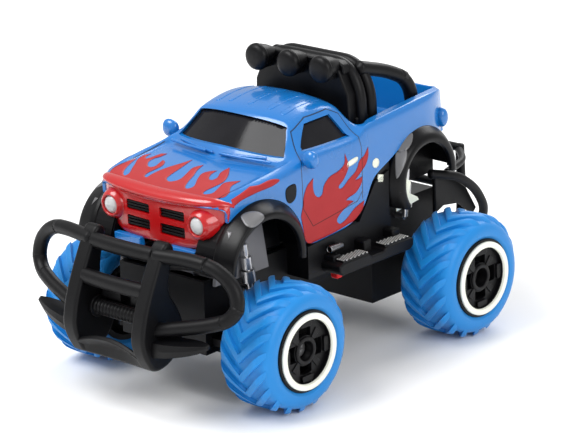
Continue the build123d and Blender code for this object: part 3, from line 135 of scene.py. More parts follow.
def colours():
    return bpy.context.scene.truck_colours


# ---------------------------------------------------------------- finishes


class Field:
    """A number that varies over a surface. Arithmetic on it adds Math nodes."""

    def __init__(self, finish, socket):
        self.finish = finish
        self.socket = socket

    def _math(self, operation, *terms):
        return self.finish.math(operation, *terms)

    def __add__(self, other):
        return self._math("ADD", self, other)

    def __sub__(self, other):
        return self._math("SUBTRACT", self, other)

    def __rsub__(self, other):
        return self._math("SUBTRACT", other, self)

    def __mul__(self, other):
        return self._math("MULTIPLY", self, other)

    __radd__ = __add__
    __rmul__ = __mul__


class Finish:
    """A material on one Principled shader."""

    def __init__(self, name, colour, roughness, **constants):
        self.material = bpy.data.materials.new(name)
        self.material.use_nodes = True
        self.tree = self.material.node_tree
        self.tree.nodes.clear()
        self.shader = self.node("ShaderNodeBsdfPrincipled")
        output = self.node("ShaderNodeOutputMaterial")
        self.tree.links.new(self.shader.outputs[0], output.inputs[0])
        self.colour = (*colour, 1.0)
        self.shader.inputs["Base Color"].default_value = self.colour
        self.shader.inputs["Roughness"].default_value = roughness
        for socket, value in constants.items():
            self.shader.inputs[socket.replace("_", " ")].default_value = value
        self.place = self.node("ShaderNodeTexCoord").outputs["Object"]

    def node(self, kind, settings=None, values=None):
        """Any node: its type, its settings, then the values or links of its sockets."""
        made = self.tree.nodes.new(kind)
        for key, setting in (settings or {}).items():
            if key == "stops":
                made.color_ramp.elements[0].position = setting[0]
                made.color_ramp.elements[1].position = setting[1]
            else:
                setattr(made, key, setting)
        for key, value in (values or {}).items():
            self.feed(made.inputs[key], value)
        return made

    def feed(self, socket, value):
        if isinstance(value, Field):
            value = value.socket
        if isinstance(value, bpy.types.NodeSocket):
            self.tree.links.new(value, socket)
        else:
            socket.default_value = value

    def math(self, operation, *terms):
        made = self.node("ShaderNodeMath", {"operation": operation}, dict(enumerate(terms)))
        return Field(self, made.outputs[0])

    def axis(self, index):
        """X, Y or Z of the surface point, in millimetres."""
        split = self.node("ShaderNodeSeparateXYZ", None, {0: self.place})
        return Field(self, split.outputs[index]) * (1 / MM)

    def noise(self, size, detail=3.0, roughness=0.55):
        """Cloudy noise from 0 to 1 whose lumps are size metres across."""
        made = self.node("ShaderNodeTexNoise", None, {
            "Vector": self.place, "Scale": 1 / size, "Detail": detail, "Roughness": roughness})
        return Field(self, made.outputs[0])

    def ramp(self, value, low, high):
        made = self.node("ShaderNodeMapRange", {"interpolation_type": "SMOOTHSTEP"}, {
            "Value": value, "From Min": low, "From Max": high})
        return Field(self, made.outputs[0])

    def edges(self, low=0.505, high=0.60):
        """1 along convex edges, which the finishes make paler: a painted highlight on glossy paint, wear from
        handling on moulded plastic.
        """
        made = self.node("ShaderNodeNewGeometry")
        return self.ramp(Field(self, made.outputs["Pointiness"]), low, high)

    def mix(self, factor, first, second):
        made = self.node("ShaderNodeMix", {"data_type": "RGBA"}, {0: factor, 6: first, 7: second})
        return made.outputs[2]

    def shade(self, scale):
        """The finish's own colour made lighter or darker."""
        return tuple(min(1.0, channel * scale) for channel in self.colour[:3]) + (1.0,)

    def bump(self, height, distance, strength=1.0):
        made = self.node("ShaderNodeBump", None, {
            "Height": height, "Distance": distance, "Strength": strength})
        self.feed(self.shader.inputs["Normal"], made.outputs[0])

    def set(self, **links):
        for socket, value in links.items():
            self.feed(self.shader.inputs[socket.replace("_", " ")], value)


def paint(name, colour, seams=()):
    """Glossy spray paint over moulded plastic; seams are fields that are 1 in a panel gap."""
    finish = Finish(name, colour, 0.24, Coat_Weight=0.55, Coat_Roughness=0.06)
    cloud = finish.noise(0.012)
    speck = finish.noise(0.0007, 2.0)
    tone = finish.mix(cloud * 0.5, finish.colour, finish.shade(0.80))
    # painted highlight: the paint's convex edges made lighter
    tone = finish.mix(finish.edges() * 0.22, tone, finish.shade(1.7))
    height = speck * 0.35
    for seam in seams:
        mask = seam(finish)
        tone = finish.mix(mask * 0.9, tone, finish.shade(0.05))
        height = height - mask * 12.0
    finish.set(Base_Color=tone, Roughness=0.2 + cloud * 0.12)
    finish.bump(height, 0.00002)
    return finish.material


def ink(name, colour, seams=()):
    """Flat printed ink, duller than the paint below it."""
    finish = Finish(name, colour, 0.5, Specular_IOR_Level=0.3)
    cloud = finish.noise(0.006)
    tone = finish.mix(cloud * 0.6, finish.shade(1.2), finish.shade(0.8))
    for seam in seams:
        tone = finish.mix(seam(finish) * 0.9, tone, finish.shade(0.08))
    finish.set(Base_Color=tone, Roughness=0.42 + cloud * 0.16)
    finish.bump(finish.noise(0.0006, 2.0), 0.00001)
    return finish.material


def moulded(name, colour, roughness=0.42, grain=0.00035):
    """Satin moulded plastic with a fine grain, paler along handled edges."""
    finish = Finish(name, colour, roughness, Specular_IOR_Level=0.2)
    cloud = finish.noise(0.006)
    fine = finish.noise(grain, 4.0, 0.65)
    tone = finish.mix(cloud * 0.6, finish.shade(1.25), finish.shade(0.75))
    tone = finish.mix(finish.edges() * 0.3, tone, finish.shade(2.2))
    finish.set(Base_Color=tone, Roughness=cloud * 0.14 + (roughness - 0.05) + fine * 0.05)
    finish.bump(fine, 0.00004, 0.6)
    return finish.material


def rubber(name, colour):
    """Soft coloured rubber with a matt skin and a little dust in the tread."""
    finish = Finish(name, colour, 0.46, Specular_IOR_Level=0.38, Sheen_Weight=0.08)
    cloud = finish.noise(0.007)
    fine = finish.noise(0.0004, 4.0, 0.6)
    tone = finish.mix(cloud * 0.5, finish.shade(1.08), finish.shade(0.84))
    # the lugs' convex edges made paler
    tone = finish.mix(finish.edges() * 0.25, tone, finish.shade(1.5))
    finish.set(Base_Color=tone, Roughness=0.36 + cloud * 0.16)
    finish.bump(fine, 0.00005, 0.5)
    return finish.material


def metal(name, colour, roughness=0.3, brushed=0.0004):
    """Plated or turned metal with fine marks."""
    finish = Finish(name, colour, roughness, Metallic=1.0)
    cloud = finish.noise(0.004)
    fine = finish.noise(brushed, 5.0, 0.7)
    tone = finish.mix(cloud * 0.5, finish.shade(1.1), finish.shade(0.72))
    finish.set(Base_Color=tone, Roughness=(roughness - 0.08) + fine * 0.22)
    finish.bump(fine, 0.00002, 0.4)
    return finish.material


def printed_silver(name, colour):
    """Silver print on black plastic, thin at its edge."""
    finish = Finish(name, colour, 0.36, Metallic=0.35)
    cloud = finish.noise(0.003)
    fine = finish.noise(0.00025, 3.0)
    tone = finish.mix(cloud * 0.6, finish.shade(1.25), finish.shade(0.7))
    finish.set(Base_Color=tone, Roughness=0.28 + fine * 0.2)
    finish.bump(fine, 0.00002, 0.5)
    return finish.material


def tinted(name, colour):
    """Dark window plastic, faintly uneven."""
    finish = Finish(name, colour, 0.09, Specular_IOR_Level=0.16)
    cloud = finish.noise(0.01)
    finish.set(Base_Color=finish.mix(cloud, finish.shade(1.6), finish.shade(0.7)),
               Roughness=0.06 + cloud * 0.08)
    finish.bump(cloud, 0.0001, 0.25)
    return finish.material


def lamp_lens(name, colour):
    """Frosted white lens with faint rings, given a faint painted glow by a small white emission."""
    finish = Finish(name, colour, 0.2, Coat_Weight=0.6, Coat_Roughness=0.05,
                    Emission_Color=(1, 1, 1, 1), Emission_Strength=0.03)
    cloud = finish.noise(0.0012)
    finish.set(Base_Color=finish.mix(cloud, finish.shade(0.75), finish.shade(1.1)),
               Roughness=0.14 + cloud * 0.2)
    finish.bump(cloud, 0.00015, 0.4)
    return finish.material


def band(value, low, high, feather=0.12):
    """1 while value lies between low and high."""
    finish = value.finish
    return finish.ramp(value, low - feather, low) * (1 - finish.ramp(value, high, high + feather))


def near(value, target, half=0.10):
    """1 on a thin line where value is target."""
    return band(value, target - half, target + half, 0.06)


def door_seam(finish):
    """The gap round each door, seen on the sides only."""
    side = finish.math("ABSOLUTE", finish.axis(0))
    y = finish.axis(1) - MID_Y
    z = finish.axis(2)
    outer = finish.ramp(side, 15.5, 16.0)
    lean = (z - 63.0) * 0.42
    front_line = near(y - finish.math("MAXIMUM", lean, 0.0) * 1.05, -18.3) * band(z, 51.0, 71.5)
    rear_line = near(y + finish.math("MAXIMUM", lean, 0.0) * 0.62, 7.3) * band(z, 47.5, 72.5)
    low_front = near(y + (z - 51.0) * 0.66, -18.3, 0.13) * band(z, 45.0, 51.0)
    low_edge = near(z - (y + 14.3) * 0.128, 44.8) * band(y, -14.3, 5.0)
    low_rear = near(y - (z - 47.3) * 0.9, 5.0, 0.13) * band(z, 47.2, 49.8)
    top_line = near(z - (y + 9.0) * 0.05, 74.0) * band(y, -8.3, 1.0)
    top_front = near(z - (y + 14.5) * 0.4, 71.5) * band(y, -14.5, -8.3)
    top_rear = near(z + (y - 1.0) * 0.52, 74.5) * band(y, 1.0, 4.8)
    total = front_line + rear_line + low_front + low_edge + low_rear + top_line + top_front + top_rear
    return finish.math("MINIMUM", total, 1.0) * outer


def hood_seam(finish):
    """The gap round the hood, seen from above."""
    x = finish.math("ABSOLUTE", finish.axis(0))
    y = finish.axis(1) - MID_Y
    z = finish.axis(2)
    sides = near(x - (y + 51.0) * 0.035, 21.3) * band(y, -49.5, -24.4)
    front = near(y - x * x * 0.0042, -51.4, 0.12) * band(x, -1.0, 21.2)
    total = sides + front
    return finish.math("MINIMUM", total, 1.0) * finish.ramp(z, 57.5, 58.5)


# ---------------------------------------------------------------- mesh tools


def make_piece(name, mesh, finish, body="root", replaces=(), smooth=True):
    """Turn a bmesh into a piece with its finish, its body and the CAD nodes that it stands for."""
    if smooth:
        for face in mesh.faces:
            face.smooth = True
    data = bpy.data.meshes.new(name)
    mesh.to_mesh(data)
    mesh.free()
    piece = bpy.data.objects.new(name, data)
    bpy.context.scene.collection.objects.link(piece)
    data.materials.append(finish)
    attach(piece, body)
    if replaces:
        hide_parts(*replaces)
    return piece


def soften(piece, width, segments=2, angle=32):
    """Round a piece's hard edges."""
    bevel = piece.modifiers.new("bevel", "BEVEL")
    bevel.width = width
    bevel.segments = segments
    bevel.limit_method = "ANGLE"
    bevel.angle_limit = radians(angle)
    bevel.harden_normals = True
    return piece


def refine(piece, levels=2):
    """Smooth a cage into a curved surface."""
    subdivide = piece.modifiers.new("subdivision", "SUBSURF")
    subdivide.levels = levels
    subdivide.render_levels = levels
    return piece


def thicken(piece, wall):
    """Give an open sheet a wall behind it."""
    solid = piece.modifiers.new("wall", "SOLIDIFY")
    solid.thickness = wall
    solid.offset = -1.0
    solid.use_even_offset = True
    return piece


def loft(mesh, rings, closed=True, capped=False):
    """Skin between rings of points with the same count."""
    rows = [[mesh.verts.new(point) for point in ring] for ring in rings]
    count = len(rows[0])
    for low, high in zip(rows, rows[1:]):
        for i in range(count if closed else count - 1):
            j = (i + 1) % count
            mesh.faces.new((low[i], low[j], high[j], high[i]))
    if capped:
        mesh.faces.new(reversed(rows[0]))
        mesh.faces.new(rows[-1])
    return rows


def lathe(mesh, profile, centre, axis="X", segments=64):
    """Turn a profile of (along, radius) in millimetres round an axis through centre."""
    rows = []
    for i in range(segments):
        angle = 2 * pi * i / segments
        row = []
        for along, radius in profile:
            u, v = radius * cos(angle), radius * sin(angle)
            offset = Vector((along, u, v)) if axis == "X" else Vector((v, along, u))
            row.append(mesh.verts.new((centre + offset) * MM))
        rows.append(row)
    for low, high in zip(rows, rows[1:] + rows[:1]):
        for i in range(len(profile) - 1):
            mesh.faces.new((low[i], high[i], high[i + 1], low[i + 1]))


def rounded_path(points, bends, steps=7):
    """A polyline in metres whose corners are arcs."""
    path = [points[0]]
    for i in range(1, len(points) - 1):
        before, corner, after = points[i - 1], points[i], points[i + 1]
        first = (before - corner).normalized()
        second = (after - corner).normalized()
        reach = bends[i - 1] * MM
        start, end = corner + first * reach, corner + second * reach
        for step in range(steps + 1):
            t = step / steps
            path.append(start * (1 - t) ** 2 + corner * 2 * t * (1 - t) + end * t ** 2)
    path.append(points[-1])
    return path


# Tubes: the step along them in metres, and how far and where their domed ends stand out.
TUBE_STEP = 0.0009
DOME_REACH = 0.6
DOME_SHARES = (0.0, 0.5, 0.85)


def evenly(path, spacing):
    """Points at equal steps along a polyline."""
    lengths = [0.0]
    for a, b in zip(path, path[1:]):
        lengths.append(lengths[-1] + (b - a).length)
    count = max(2, round(lengths[-1] / spacing))
    result = []
    segment = 0
    for step in range(count + 1):
        target = lengths[-1] * step / count
        while segment < len(path) - 2 and lengths[segment + 1] < target:
            segment += 1
        part = lengths[segment + 1] - lengths[segment]
        result.append(path[segment].lerp(path[segment + 1], (target - lengths[segment]) / part))
    return result


def tube(mesh, points, radius, bends, sides=14):
    """A round bar along a path with rounded corners; radius in metres, bends in millimetres."""
    path = evenly(rounded_path(points, bends) if bends else list(points), TUBE_STEP)
    sections = []
    previous = None
    for i, point in enumerate(path):
        along = (path[min(i + 1, len(path) - 1)] - path[max(i - 1, 0)]).normalized()
        if previous is None:
            across = along.cross(Vector((0, 0, 1)))
            if across.length < 0.1:
                across = along.cross(Vector((0, 1, 0)))
            across.normalize()
        else:
            across = (previous - along * previous.dot(along)).normalized()
        previous = across
        sections.append((point, along, across, along.cross(across)))

    def dome(section, direction, shares):
        point, along, across, other = section
        for share in shares:
            reach = direction * radius * DOME_REACH * (1 - share)
            yield point + along * reach, across, other, max(0.05, sqrt(1 - (1 - share) ** 2))

    shells = list(dome(sections[0], -1, DOME_SHARES))
    shells += [(point, across, other, 1.0) for point, _, across, other in sections]
    shells += list(dome(sections[-1], 1, reversed(DOME_SHARES)))
    skins = []
    for point, across, other, scale in shells:
        ring = []
        for k in range(sides):
            angle = 2 * pi * k / sides
            ring.append(point + (across * cos(angle) + other * sin(angle)) * radius * scale)
        skins.append(ring)
    loft(mesh, skins, capped=True)


def prism(mesh, outline, base, across, up, normal, thickness):
    """A flat plate: a 2-D outline in millimetres pushed along normal by thickness."""
    base, across, up, normal = (Vector(v) for v in (base, across, up, normal))
    rings = []
    for depth in (0.0, thickness):
        rings.append([(base + across * u + up * v + normal * depth) * MM for u, v in outline])
    loft(mesh, rings, capped=True)


def side_plate(mesh, outline, x, thickness):
    """A plate that lies in a side view, its outline in (y from mid wheelbase, z)."""
    prism(mesh, outline, (x, MID_Y, 0), (0, 1, 0), (0, 0, 1), (1, 0, 0), thickness)


def block(mesh, low, high):
    """A box in millimetres, y from the middle of the wheelbase, to be softened later."""
    (x0, y0, z0), (x1, y1, z1) = low, high
    outline = [(x0, y0), (x1, y0), (x1, y1), (x0, y1)]
    prism(mesh, outline, (0, MID_Y, z0), (1, 0, 0), (0, 1, 0), (0, 0, 1), z1 - z0)


def fix_normals(mesh):
    """Turn every face outwards."""
    bmesh.ops.recalc_face_normals(mesh, faces=mesh.faces)


def mirrored(mesh):
    """Add the mirror image of everything across the truck's middle plane."""
    copy = bmesh.ops.duplicate(mesh, geom=mesh.verts[:] + mesh.edges[:] + mesh.faces[:])
    new_verts = [g for g in copy["geom"] if isinstance(g, bmesh.types.BMVert)]
    new_faces = [g for g in copy["geom"] if isinstance(g, bmesh.types.BMFace)]
    for vert in new_verts:
        vert.co.x = -vert.co.x
    bmesh.ops.reverse_faces(mesh, faces=new_faces)


# ---------------------------------------------------------------- wheels


def tyre_mesh(settings):
    """One tyre on the X axis through the origin, in metres, chevrons wrapped over the shoulders."""
    mesh = bmesh.new()
    carcass = [
        (-7.3, 11.2), (-8.5, 11.3), (-8.9, 11.9), (-9.45, 12.7), (-9.5, 13.8), (-9.3, 15.0), (-8.7, 16.0),
        (-7.6, 16.75), (-5.5, 17.1), (-2.5, 17.25), (0, 17.3), (2.5, 17.25), (5.5, 17.1), (7.6, 16.75),
        (8.7, 16.0), (9.3, 15.0), (9.5, 13.8), (9.45, 12.7), (8.9, 11.9), (8.5, 11.3), (7.3, 11.2),
    ]
    lathe(mesh, carcass, Vector((0, 0, 0)), segments=96)
    crown = TYRE_RADIUS - 0.02
    half = 9.0
    sweep = 1.55 * 2 * pi / settings.lug_count
    width = settings.lug_width / MM
    height = settings.lug_height / MM
    for lug in range(settings.lug_count):
        start = 2 * pi * lug / settings.lug_count
        rings = []
        for step in range(-9, 10):
            share = step / 9
            x = half * share
            reach = abs(share)
            drop = max(0.0, reach - 0.62) / 0.38
            top = crown - 3.35 * drop ** 2.2
            base = top - height - 0.5 + 0.55 * drop
            angle = start - sweep * reach
            lean = 0.25 * width / crown
            spread = (width / 2) * (1 - 0.25 * drop)
            ring = []
            for side, radius, grow in (
                (-1, base, 1.45), (-1, top - 0.28, 1.08), (-1, top, 0.72),
                (1, top, 0.72), (1, top - 0.28, 1.08), (1, base, 1.45),
            ):
                turn = angle + side * spread * grow / crown + (lean if radius < top - 0.1 else 0.0)
                ring.append(Vector((x, radius * sin(turn), -radius * cos(turn))) * MM)
            rings.append(ring)
        loft(mesh, rings, capped=True)
    fix_normals(mesh)
    return mesh


def rim_mesh():
    """One black rim on the X axis through the origin, its face towards +X."""
    mesh = bmesh.new()
    barrel = [
        (-9.1, 10.1), (-9.1, 11.6), (-8.9, 11.8), (-8.5, 11.8), (-8.5, 11.25), (8.5, 11.25), (8.5, 11.8),
        (9.2, 11.85), (9.5, 11.65), (9.55, 11.1), (9.5, 9.3), (9.3, 9.1), (8.0, 9.0), (6.6, 9.0), (6.6, 10.1),
    ]
    lathe(mesh, barrel + barrel[:1], Vector((0, 0, 0)), segments=96)
    hub = [(8.1, 2.75), (8.75, 2.85), (8.85, 3.1), (8.85, 3.8), (8.7, 4.1), (7.2, 4.2), (-8.6, 4.2),
           (-8.7, 4.0),
           (-8.7, 2.1), (4.9, 2.1), (5.0, 2.75)]
    lathe(mesh, hub + hub[:1], Vector((0, 0, 0)), segments=64)
    # spoked face: four windows between four diagonal spokes
    radii = [4.0, 4.45, 6.9, 9.05]
    half_window = 2.35
    columns = 24
    front, back = 8.3, 6.7
    grid = {}
    for r_index, radius in enumerate(radii):
        edge = asin(min(0.98, half_window / radius)) if r_index in (1, 2) else asin(half_window / 5.6)
        for column in range(columns * 4):
            quarter, step = divmod(column, columns)
            share = step / (columns / 2)
            middle_angle = quarter * pi / 2
            if share <= 1:
                angle = -edge + share * 2 * edge
            else:
                angle = edge + (share - 1) * (pi / 2 - 2 * edge)
            for depth in (front, back):
                turn = angle + middle_angle
                place = Vector((depth, radius * cos(turn), radius * sin(turn))) * MM
                grid[r_index, column, depth] = mesh.verts.new(place)
    total = columns * 4
    for r_index in range(3):
        for column in range(total):
            following = (column + 1) % total
            open_cell = r_index == 1 and (column % columns) < columns // 2
            if open_cell:
                continue
            a, b = grid[r_index, column, front], grid[r_index, following, front]
            c, d = grid[r_index + 1, following, front], grid[r_index + 1, column, front]
            mesh.faces.new((a, b, c, d))
            a, b = grid[r_index, column, back], grid[r_index, following, back]
            c, d = grid[r_index + 1, following, back], grid[r_index + 1, column, back]
            mesh.faces.new((d, c, b, a))
    for column in range(total):
        following = (column + 1) % total
        if (column % columns) < columns // 2:
            for r_index in (1, 2):
                a, b = grid[r_index, column, front], grid[r_index, following, front]
                c, d = grid[r_index, following, back], grid[r_index, column, back]
                mesh.faces.new((a, b, c, d))
        starts_window = column % columns == 0
        ends_window = column % columns == columns // 2
        if starts_window or ends_window:
            a, b = grid[1, column, front], grid[2, column, front]
            c, d = grid[2, column, back], grid[1, column, back]
            mesh.faces.new((a, b, c, d))
    # raised pads outside the windows, and the step rings on the spokes
    for quarter in range(4):
        angle = quarter * pi / 2
        out = Vector((0, cos(angle), sin(angle)))
        aside = Vector((0, -sin(angle), cos(angle)))
        outline = [(-2.3, 7.3), (-1.9, 7.05), (1.9, 7.05), (2.3, 7.3), (2.1, 8.7), (1.2, 8.95), (-1.2, 8.95),
                   (-2.1, 8.7)]
        prism(mesh, outline, (front - 0.1, 0, 0), aside, out, (1, 0, 0), 0.9)
        diagonal = angle + pi / 4
        out = Vector((0, cos(diagonal), sin(diagonal)))
        aside = Vector((0, -sin(diagonal), cos(diagonal)))
        rib = [(-0.75, 4.1), (0.75, 4.1), (1.0, 7.2), (-1.0, 7.2)]
        prism(mesh, rib, (front - 0.1, 0, 0), aside, out, (1, 0, 0), 0.45)
    fix_normals(mesh)
    return mesh


def ring_mesh():
    """The pale trim ring on the X axis through the origin."""
    mesh = bmesh.new()
    profile = [(9.5, 9.25), (10.15, 9.3), (10.35, 9.55), (10.35, 10.75), (10.15, 11.0), (9.5, 11.05)]
    lathe(mesh, profile + profile[:1], Vector((0, 0, 0)), segments=96)
    fix_normals(mesh)
    return mesh


def wheel_copies():
    """Every wheel: its name's end and side, which way it faces, its middle, and the body it rides on."""
    for side, side_name in ((1, "left"), (-1, "right")):
        for end_name, y in (("front", FRONT_Y), ("rear", REAR_Y)):
            body = f"front_wheel_{side_name}" if end_name == "front" else "rear_axle"
            yield end_name, side_name, side, Vector((side * WHEEL_X, y, AXLE_Z)) * MM, body


def set_wheel_parts(kind, source, finish, prefix):
    """Put a copy of one wheel part on each wheel, mirrored for the right side."""
    for end_name, side_name, side, place, body in wheel_copies():
        mesh = source.copy()
        for vert in mesh.verts:
            vert.co.x *= side
            vert.co += place
        if side < 0:
            bmesh.ops.reverse_faces(mesh, faces=mesh.faces)
        node = f"{end_name}_{prefix}_{side_name}"
        piece = make_piece(f"{end_name}_{side_name}_{kind}", mesh, finish, body, (node,))
        if kind == "chevron_tyre":
            soften(piece, 0.00018, 2, 30)
        if kind == "spoked_rim":
            soften(piece, 0.00022, 2, 40)
    source.free()


class TRUCK_OT_tyres(Operator):
    """Four blue tyres with chevron bars"""
    bl_idname = "truck.tyres"
    bl_label = "Tyres"

    def execute(self, context):
        set_wheel_parts("chevron_tyre", tyre_mesh(sizes()), rubber("tyre_rubber", colours().tyre_blue),
                        "tyre")
        return {"FINISHED"}


class TRUCK_OT_rims(Operator):
    """Four black rims with their off-white rings"""
    bl_idname = "truck.rims"
    bl_label = "Rims and rings"

    def execute(self, context):
        set_wheel_parts("spoked_rim", rim_mesh(), moulded("rim_black", colours().black, 0.36),
                        "rim")
        set_wheel_parts("white_ring", ring_mesh(), moulded("ring_cream", colours().ring, 0.3, 0.0005),
                        "trim_ring")
        return {"FINISHED"}


# ---------------------------------------------------------------- shell


FRONT_ARCH = (-36.2, 40.0, 18.2)
REAR_ARCH = (34.0, 47.8, 15.0)


def arch_height(arch, y, floor=0.0):
    """Height of a wheel arch's edge at y, or floor outside it."""
    centre_y, centre_z, radius = arch
    inside = radius ** 2 - (y - centre_y) ** 2
    return centre_z + sqrt(inside) if inside > 0 else floor


# Each station across the shell: centre (y, z), between (x, y, z), top edge (x, y, z),
# belt inner (x, y, z), belt outer (x, y, z), the sides' y, and the height of the bottom edge.
def shell_stations():
    front = lambda y: arch_height(FRONT_ARCH, y)
    rear = lambda y: arch_height(REAR_ARCH, y)
    return [
        ("nose", (-53.5, 59.3), (10, -53.2, 59.2), (19.0, -51.7, 58.9), (22.4, -49.9, 58.4),
         (24.1, -48.2, 57.6), -48.0, front(-48.0)),
        ("lip", (-51.4, 60.5), (10, -51.0, 60.7), (20.6, -49.6, 60.6), (22.9, -48.2, 60.1),
         (24.4, -46.8, 59.2), -46.6, front(-46.6)),
        ("hood", (-47.5, 61.1), (10, -47.3, 61.5), (21.0, -46.5, 61.3), (23.0, -45.6, 61.4),
         (24.6, -44.6, 60.5), -44.2, front(-44.2)),
        ("hood", (-41.5, 61.8), (10, -41.5, 62.2), (21.2, -41.0, 61.7), (22.9, -40.4, 62.4),
         (24.7, -39.6, 61.6), -39.6, front(-39.6)),
        ("hood", (-35.0, 62.6), (10.5, -35.0, 62.9), (21.4, -34.5, 62.2), (22.8, -34.2, 63.2),
         (24.7, -33.9, 62.6), -33.9, front(-33.9)),
        ("hood", (-30.0, 63.1), (10.8, -29.5, 63.3), (21.6, -28.2, 62.8), (22.8, -28.0, 63.9),
         (24.6, -27.8, 63.2), -28.0, front(-28.0)),
        ("cowl", (-27.4, 63.3), (11.0, -26.6, 63.5), (21.4, -23.4, 63.3), (22.8, -23.2, 64.5),
         (24.5, -23.2, 63.8), -23.4, front(-23.4)),
        ("base", (-25.9, 64.6), (11.2, -24.9, 64.4), (20.6, -21.4, 64.4), (23.0, -20.4, 65.2),
         (24.6, -20.2, 64.2), -20.0, front(-20.0)),
        ("glass", (-20.6, 69.8), (10.4, -19.6, 69.5), (18.9, -17.0, 69.0), (22.9, -16.4, 66.0),
         (24.7, -16.4, 64.8), -18.2, 44.5),
        ("roof", (-15.8, 74.7), (9.6, -15.2, 74.5), (17.3, -13.4, 73.4), (22.7, -14.6, 66.4),
         (24.8, -14.6, 65.0), -17.5, 39.6),
        ("roof", (-13.4, 76.0), (9.2, -12.9, 75.7), (17.2, -11.4, 74.2), (22.7, -10.6, 66.7),
         (24.9, -10.6, 65.3), -11.0, 39.5),
        ("roof", (-6.0, 77.3), (9.0, -6.0, 77.0), (17.6, -5.6, 75.4), (22.8, -4.0, 66.6), (25.0, -4.0, 65.3),
         -4.0, 40.0),
        ("roof", (1.0, 77.4), (9.0, 1.0, 77.1), (17.7, 1.2, 75.6), (22.8, 3.0, 66.6), (25.0, 3.0, 65.4), 2.6,
         41.0),
        ("roof", (5.4, 76.4), (9.0, 5.5, 76.1), (17.6, 5.4, 74.6), (22.4, 6.6, 67.2), (25.0, 6.6, 66.0), 6.9,
         43.8),
        ("back", (7.6, 73.0), (9.2, 7.7, 72.8), (18.6, 7.7, 71.4), (22.0, 8.6, 68.8), (24.9, 8.6, 68.0), 9.0,
         46.6),
        ("floor", (11.6, 61.4), (11.0, 11.6, 61.4), (20.6, 11.6, 61.6), (21.8, 11.6, 69.0),
         (24.6, 11.4, 68.8), 11.6, 52.6),
        ("bed", (16.0, 60.6), (11.0, 16.0, 60.6), (21.0, 16.0, 61.0), (21.8, 16.0, 69.4), (24.5, 16.0, 69.3),
         15.6, 54.4),
        ("bed", (24.0, 60.6), (11.0, 24.0, 60.6), (21.0, 24.0, 61.0), (21.7, 24.0, 70.2), (24.3, 24.0, 70.0),
         22.6, rear(22.6)),
        ("bed", (33.0, 60.6), (11.0, 33.0, 60.6), (21.0, 33.0, 61.0), (21.6, 33.0, 70.9), (24.1, 33.0, 70.7),
         31.0, rear(31.0)),
        ("bed", (40.0, 60.6), (11.0, 40.0, 60.6), (20.6, 40.0, 61.0), (21.3, 40.0, 71.3), (23.8, 40.0, 71.1),
         39.0, rear(39.0)),
        ("bed", (46.0, 60.6), (11.0, 46.0, 60.6), (19.4, 45.8, 61.0), (20.2, 45.4, 71.2), (22.8, 45.2, 70.8),
         44.4, rear(44.4)),
        ("gate", (46.9, 61.2), (11.0, 46.9, 61.2), (18.6, 46.7, 61.4), (19.6, 46.6, 71.0),
         (21.8, 47.0, 70.4), 46.4, 57.0),
        ("gate", (47.2, 70.6), (11.0, 47.2, 70.7), (18.4, 47.1, 70.8), (19.4, 47.6, 71.0),
         (21.2, 48.2, 70.0), 47.9, 57.3),
        ("tail", (49.3, 70.3), (11.0, 49.2, 70.3), (17.6, 49.0, 70.3), (18.6, 48.9, 70.2),
         (20.0, 48.9, 69.2), 49.0, 57.4),
        ("tail", (50.2, 65.6), (11.0, 50.1, 65.6), (16.6, 49.9, 65.6), (17.6, 49.8, 65.4),
         (18.8, 49.7, 65.0), 49.6, 57.5),
    ]


def side_x(y, z, outer):
    """Half width of the shell's side: fullest at the middle of the doors, drawn in at both ends."""
    tuck = 0.55 * max(0.0, (50.0 - z) / 10.0) ** 2
    ends = 0.0016 * max(0.0, abs(y) - 20.0) ** 2
    if y > 38.0:
        ends += 0.030 * (y - 38.0) ** 2
    crease = 0.55 if z > 63.0 else 0.0
    return max(outer, min(25.5, 25.5 - ends - tuck - crease * 0.4))


def shell_cage():
    """The control cage of the shell's left half, and the vertices by row and column."""
    mesh = bmesh.new()
    rows = []
    for name, centre, between, edge, inner, outer, side_y, bottom in shell_stations():
        row = [mesh.verts.new(at(0, *centre)), mesh.verts.new(at(*between)), mesh.verts.new(at(*edge))]
        row += [mesh.verts.new(at(*inner)), mesh.verts.new(at(*outer))]
        top = outer[2] - 1.1
        for share in (0.0, 0.30, 0.65, 1.0):
            z = top + (bottom - top) * share
            y = outer[1] + (side_y - outer[1]) * (0.35 + 0.65 * share)
            width = side_x(y, z, outer[0] + 0.15) if name != "tail" else outer[0] + 0.6 + share
            row.append(mesh.verts.new(at(width, y, z)))
        rows.append(row)
    for low, high in zip(rows, rows[1:]):
        for i in range(len(low) - 1):
            mesh.faces.new((low[i], high[i], high[i + 1], low[i + 1]))
    return mesh, rows


def crease(mesh, first, second, amount):
    layer = mesh.edges.layers.float.get("crease_edge") or mesh.edges.layers.float.new("crease_edge")
    for edge in first.link_edges:
        if edge.other_vert(first) is second:
            edge[layer] = amount


def crease_row(mesh, rows, row, columns, amount):
    for a, b in zip(columns, columns[1:]):
        crease(mesh, rows[row][a], rows[row][b], amount)


def crease_column(mesh, rows, column, first, last, amount):
    for row in range(first, last):
        crease(mesh, rows[row][column], rows[row + 1][column], amount)


# ---------------------------------------------------------------- things that follow a surface


def surface_tree(*pieces):
    """A tree for finding points on the finished surface of some pieces."""
    graph = bpy.context.evaluated_depsgraph_get()
    verts, faces = [], []
    for piece in pieces:
        shown = piece.evaluated_get(graph)
        data = shown.to_mesh()
        first = len(verts)
        verts += [shown.matrix_world @ v.co for v in data.vertices]
        faces += [tuple(first + i for i in polygon.vertices) for polygon in data.polygons]
        shown.to_mesh_clear()
    return BVHTree.FromPolygons(verts, faces)


